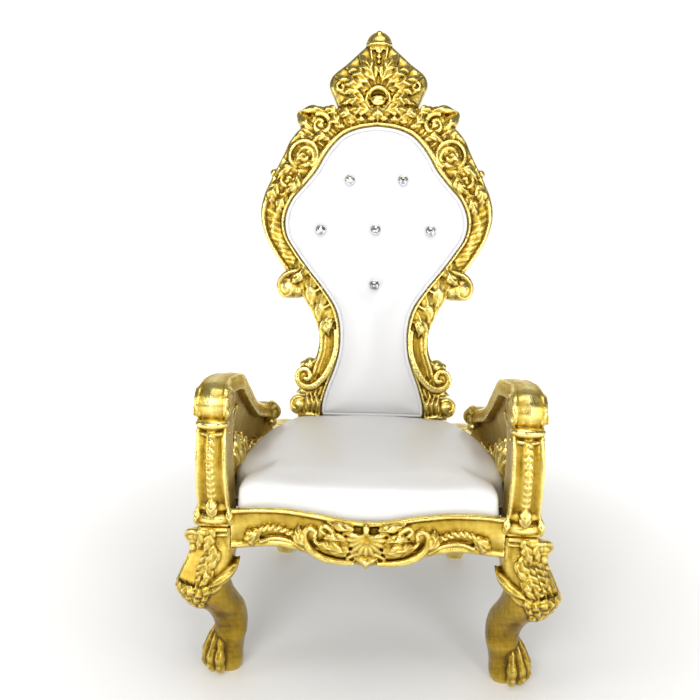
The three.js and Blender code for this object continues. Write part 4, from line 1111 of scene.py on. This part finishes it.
def inflated(name, parts, voxel, pressure, most, hold, smooth=2):
    """Cloth blown up from a closed shape: no point moves further than `most` mm; held points stay."""
    obj = new_object(name, mesh_of(name, parts))
    applied(obj, ("REMESH", {"mode": "VOXEL", "voxel_size": voxel * MM}),
            ("SMOOTH", {"factor": 0.5, "iterations": 3}))
    rest = points_of(obj.data)
    cloth = obj.modifiers.new("cloth", "CLOTH")
    settings = cloth.settings
    settings.quality = 5
    settings.mass = 0.3
    settings.tension_stiffness = settings.compression_stiffness = 12
    settings.bending_stiffness = 1.5
    settings.use_pressure = True
    settings.uniform_pressure_force = pressure
    settings.effector_weights.gravity = 0
    cloth.collision_settings.use_collision = False
    group = obj.vertex_groups.new(name="held")
    group.add(np.flatnonzero(hold(rest)).tolist(), 1.0, "REPLACE")
    settings.vertex_group_mass = "held"
    cloth.point_cache.frame_start, cloth.point_cache.frame_end = 1, CLOTH_FRAMES
    scene = bpy.context.scene
    for number in range(1, CLOTH_FRAMES + 1):
        scene.frame_set(number)
    blown = obj.evaluated_get(bpy.context.evaluated_depsgraph_get())
    co = points_of(blown.data)
    obj.modifiers.clear()
    scene.frame_set(1)
    move = co - rest
    length = np.linalg.norm(move, axis=1, keepdims=True)
    move *= np.minimum(1, most * MM / np.maximum(length, 1e-9))
    move = averaged(move, edges_of(obj.data), smooth)
    set_points(obj.data, rest + move)
    return obj


def seat_outline(inset):
    half_front = LEG_BLOCK["inner"] - 5 - inset
    fronts = [(x, soft_table(APRON_FACE, x) + 13 + inset) for x in (0, 60, 120, 180, 240)]
    sides = [(half_front - 8, -30 + inset), (half_front, 14), (half_front, 50), (334 - inset, 88),
             (338 - inset, 160), (332 - inset, 240), (320 - inset, 320), (294 - inset, 408), (250 - inset, 490),
             (196 - inset, 528 - inset), (110, CUSHION["back"] - 6 - inset), (0, CUSHION["back"] - inset)]
    half = curve([*fronts, *sides], 160)
    return np.vstack([half, half[-2:0:-1] * (-1, 1)])


def seat_cushion():
    bottom, side = CUSHION["bottom"], CUSHION["side"]
    levels = [(bottom, 4), (bottom + 4, 1), (side - 24, 0), (side - 12, 1), (side - 2, 7), (side + 5, 18)]
    rings = [np.column_stack([seat_outline(inset), np.full(320, height)]) for height, inset in levels]
    base, middle = seat_outline(18), CUSHION["middle"]
    for share, height in ((0.93, 511), (0.75, 514), (0.5, 517), (0.25, 518)):
        rings.append(np.column_stack([base[:, 0] * share, middle + (base[:, 1] - middle) * share,
                                      np.full(320, height)]))
    low = bottom * MM
    obj = inflated("seat_pad", [skin(np.array(rings))], 9.0, 4.0, 9, lambda co: co[:, 2] < low + 0.012,
                   smooth=14)
    co = points_of(obj.data)
    sag = waves(co / MM, 11, 260.0, 1) * 1.6 + waves(co / MM, 12, 90.0, 1) * 0.5
    co[:, 2] += sag * MM * eased(low + 0.02, low + 0.07, co[:, 2])
    co[:, 2] = np.clip(co[:, 2], low, None)
    set_points(obj.data, co)
    applied(obj, ("SUBSURF", {"levels": 1, "render_levels": 1}))
    finish_piece(obj, ["seat_cushion"], SEAT_WHITE)


def opening(inset, count=180):
    outer, inner = rim_lines(count * 2)
    half = inner + unit(inner - outer) * inset
    half = half[inner[:, 1] > 52]
    half[0, 0] = 0
    low = 24.3 + inset
    half = even(np.vstack([half, [(half[-1, 0], low)]]), count)
    return np.vstack([half, half[-1:0:-1] * (-1, 1)])


def flat_rings(rows):
    """Rings of the opening's outline drawn towards the middle line: (inset, share of the width, height)."""
    rings = []
    for inset, share, height in rows:
        outline = opening(inset)
        middle = np.column_stack([np.zeros(len(outline)), 0.12 * 480 + 0.88 * outline[:, 1]])
        rings.append(np.column_stack([middle + (outline - middle) * share, np.full(len(outline), height)]))
    return rings


def back_pad():
    rings = flat_rings([(2, 0.96, -17), (1, 1, -16), (1, 1, 8), (4, 1, 14), (10, 1, 17), (18, 1, 18), (24, 0.9, 19),
                        (24, 0.6, 20), (24, 0.3, 20), (24, 0.08, 20)])
    spots = place_back(np.array([(x, y, PAD_FACE - 3) for x, y in BUTTONS])) + SHIFT
    outward = place_back(np.array([(0, 0, 1.0)])) - place_back(np.array([(0, 0, 0.0)]))

    def depth(co):
        """Height of each point out of the back's flat frame."""
        origin = (place_back(np.array([(0, 0, 0.0)])) + SHIFT) * MM
        return ((co - origin) @ outward[0]) / MM

    def hold(co):
        near = np.min(np.linalg.norm(co[:, None] / MM - spots[None], axis=2), axis=1) < 13
        return near | (depth(co) < 9)
    obj = inflated("back_pad_buttoned", [moved(skin(np.array(rings)), place_back)], 8.0, 5.0, 13, hold)
    co = points_of(obj.data)
    distance = np.linalg.norm(co[:, None] / MM - spots[None], axis=2).min(1)
    proud = depth(co)
    dent = 7.0 * np.exp(-(distance / 34) ** 1.6) + 3.0 * np.exp(-(distance / 90) ** 2)
    co -= outward * (dent * eased(8, 16, proud) * MM)[:, None]
    set_points(obj.data, co)
    applied(obj, ("SUBSURF", {"levels": 1, "render_levels": 1}))
    outline = opening(7)
    loop = np.column_stack([outline, np.full(len(outline), 17.0)])
    along = unit(np.roll(loop, -1, 0) - np.roll(loop, 1, 0))
    side = np.cross(along, OUT)
    turn = 2 * np.pi * np.arange(12) / 12
    rings = loop[:, None] + side[:, None] * (5.0 * np.cos(turn))[None, :, None] + \
        OUT * (5.0 * np.sin(turn))[None, :, None]
    piping = new_object("back_piping", mesh_of("back_piping", [moved(skin(rings, looped=True), place_back)]))
    finish_piece(piping, [], SHADED_BACK_WHITE)
    finish_piece(obj, ["back_pad"], SHADED_BACK_WHITE)


def back_panel():
    rings = flat_rings([(1, 0.97, -18.5), (1, 1, -20), (1, 1, -40), (3, 1, -45), (8, 1, -46.5), (16, 0.9, -47.2),
                        (16, 0.5, -47.8), (16, 0.08, -48)])
    obj = new_object("back_lining", mesh_of("back_lining", [moved(skin(np.array(rings)), place_back)]))
    applied(obj, ("REMESH", {"mode": "VOXEL", "voxel_size": 9 * MM}), ("SMOOTH", {"factor": 0.5, "iterations": 3}))
    finish_piece(obj, ["back_panel"], SHADED_BACK_WHITE)


def buttons():
    """Each button: a brilliant-cut crystal in a thin silvered cup."""
    facets = 12
    rows = [(15.0, 0.6, 0), (15.0, 2.4, 0), (13.6, 3.0, 0), (13.0, 3.4, 0.5), (9.4, 6.4, 0), (5.6, 8.6, 0.5),
            (3.6, 9.3, 0)]
    for i, (x, y) in enumerate(BUTTONS):
        rings = []
        for radius, height, shift in rows:
            turn = 2 * np.pi * (np.arange(facets) + shift) / facets
            rings.append(np.column_stack([x + radius * np.cos(turn), y + radius * np.sin(turn),
                                          np.full(facets, PAD_FACE + height)]))
        obj = new_object(f"crystal_{i + 1}", mesh_of(f"crystal_{i + 1}", [moved(skin(np.array(rings)), place_back)]))
        finish_piece(obj, [f"crystal_button_{i + 1}"], CRYSTAL)
        obj.data.polygons.foreach_set("use_smooth", np.zeros(len(obj.data.polygons), bool))


def kept_nodes():
    base = NODES["seat_base"]
    base.data.materials.clear()
    base.data.materials.append(DUST_COVER)


for make in (back_frame, front_rail, front_legs, rear_legs, side_rails, rear_rail, arms, seat_cushion, back_pad,
             back_panel, buttons, kept_nodes):
    make()


# ---- Stage, light and camera ----------------------------------------------------------------
FLOOR_HALF = 6.0
LAMPS = [("key", (-0.9, -3.1, 2.1), (0, 0, 0.8), (1.5, 1.8), 52),
         ("fill", (1.6, -3.0, 1.4), (0, 0, 0.7), (1.0, 2.0), 29),
         ("side", (-2.65, -1.1, 1.0), (0, -0.3, 0.5), (0.8, 1.7), 15),
         ("low", (2.6, -1.5, 1.0), (0, -0.3, 0.4), (0.8, 1.5), 9),
         ("top", (0.1, -0.9, 2.9), (0, -0.1, 0.5), (1.6, 1.2), 17)]
CAMERA = {"lens": 629.86 / 700 * 36, "sensor": 36.0, "yaw": 0.0494, "tilt": 0.1988, "roll": 0.0108,
          "place": (23.4, -1360.2, 1092.0)}


def stage():
    mesh = bpy.data.meshes.new("floor")
    half = FLOOR_HALF
    mesh.from_pydata([(-half, -half, 0), (half, -half, 0), (half, half, 0), (-half, half, 0)], [], [(0, 1, 2, 3)])
    floor = new_object("floor", mesh)
    mesh.materials.append(floor_paint())


def softbox(name, place, target, size, power):
    light = bpy.data.lights.new(name, "AREA")
    light.shape = "RECTANGLE"
    light.size, light.size_y = size
    light.energy = power
    obj = new_object(name, light)
    obj.location = place
    obj.rotation_euler = (Vector(target) - Vector(place)).to_track_quat("-Z", "Y").to_euler()


def studio():
    world = bpy.data.worlds.new("studio")
    bpy.context.scene.world = world
    world.use_nodes = True
    tree = world.node_tree
    place = tree.nodes.new("ShaderNodeTexCoord")
    split = tree.nodes.new("ShaderNodeSeparateXYZ")
    tree.links.new(place.outputs["Generated"], split.inputs[0])
    ramp = tree.nodes.new("ShaderNodeValToRGB")
    tree.links.new(split.outputs["Y"], ramp.inputs["Fac"])
    stops = ((0.0, (0.17, 0.16, 0.14, 1)), (0.6, (0.38, 0.37, 0.35, 1)), (0.78, (1.0, 1.0, 1.0, 1)))
    ramp.color_ramp.elements.new(0.5)
    for element, (at, color) in zip(ramp.color_ramp.elements, stops):
        element.position, element.color = at, color
    tree.links.new(ramp.outputs["Color"], tree.nodes["Background"].inputs["Color"])
    tree.nodes["Background"].inputs["Strength"].default_value = 1.03
    for lamp in LAMPS:
        softbox(*lamp)


def camera():
    data = bpy.data.cameras.new("camera")
    obj = new_object("camera", data)
    data.sensor_width, data.lens = CAMERA["sensor"], CAMERA["lens"]
    turn = Matrix.Rotation(CAMERA["yaw"], 4, "Z") @ \
        Matrix.Rotation(math.pi / 2 - CAMERA["tilt"], 4, "X") @ Matrix.Rotation(CAMERA["roll"], 4, "Z")
    place = (np.array(CAMERA["place"]) + SHIFT) * MM
    obj.matrix_world = Matrix.Translation(place.tolist()) @ turn
    bpy.context.scene.camera = obj


stage()
studio()
camera()
bpy.context.scene.view_settings.view_transform = "Standard"
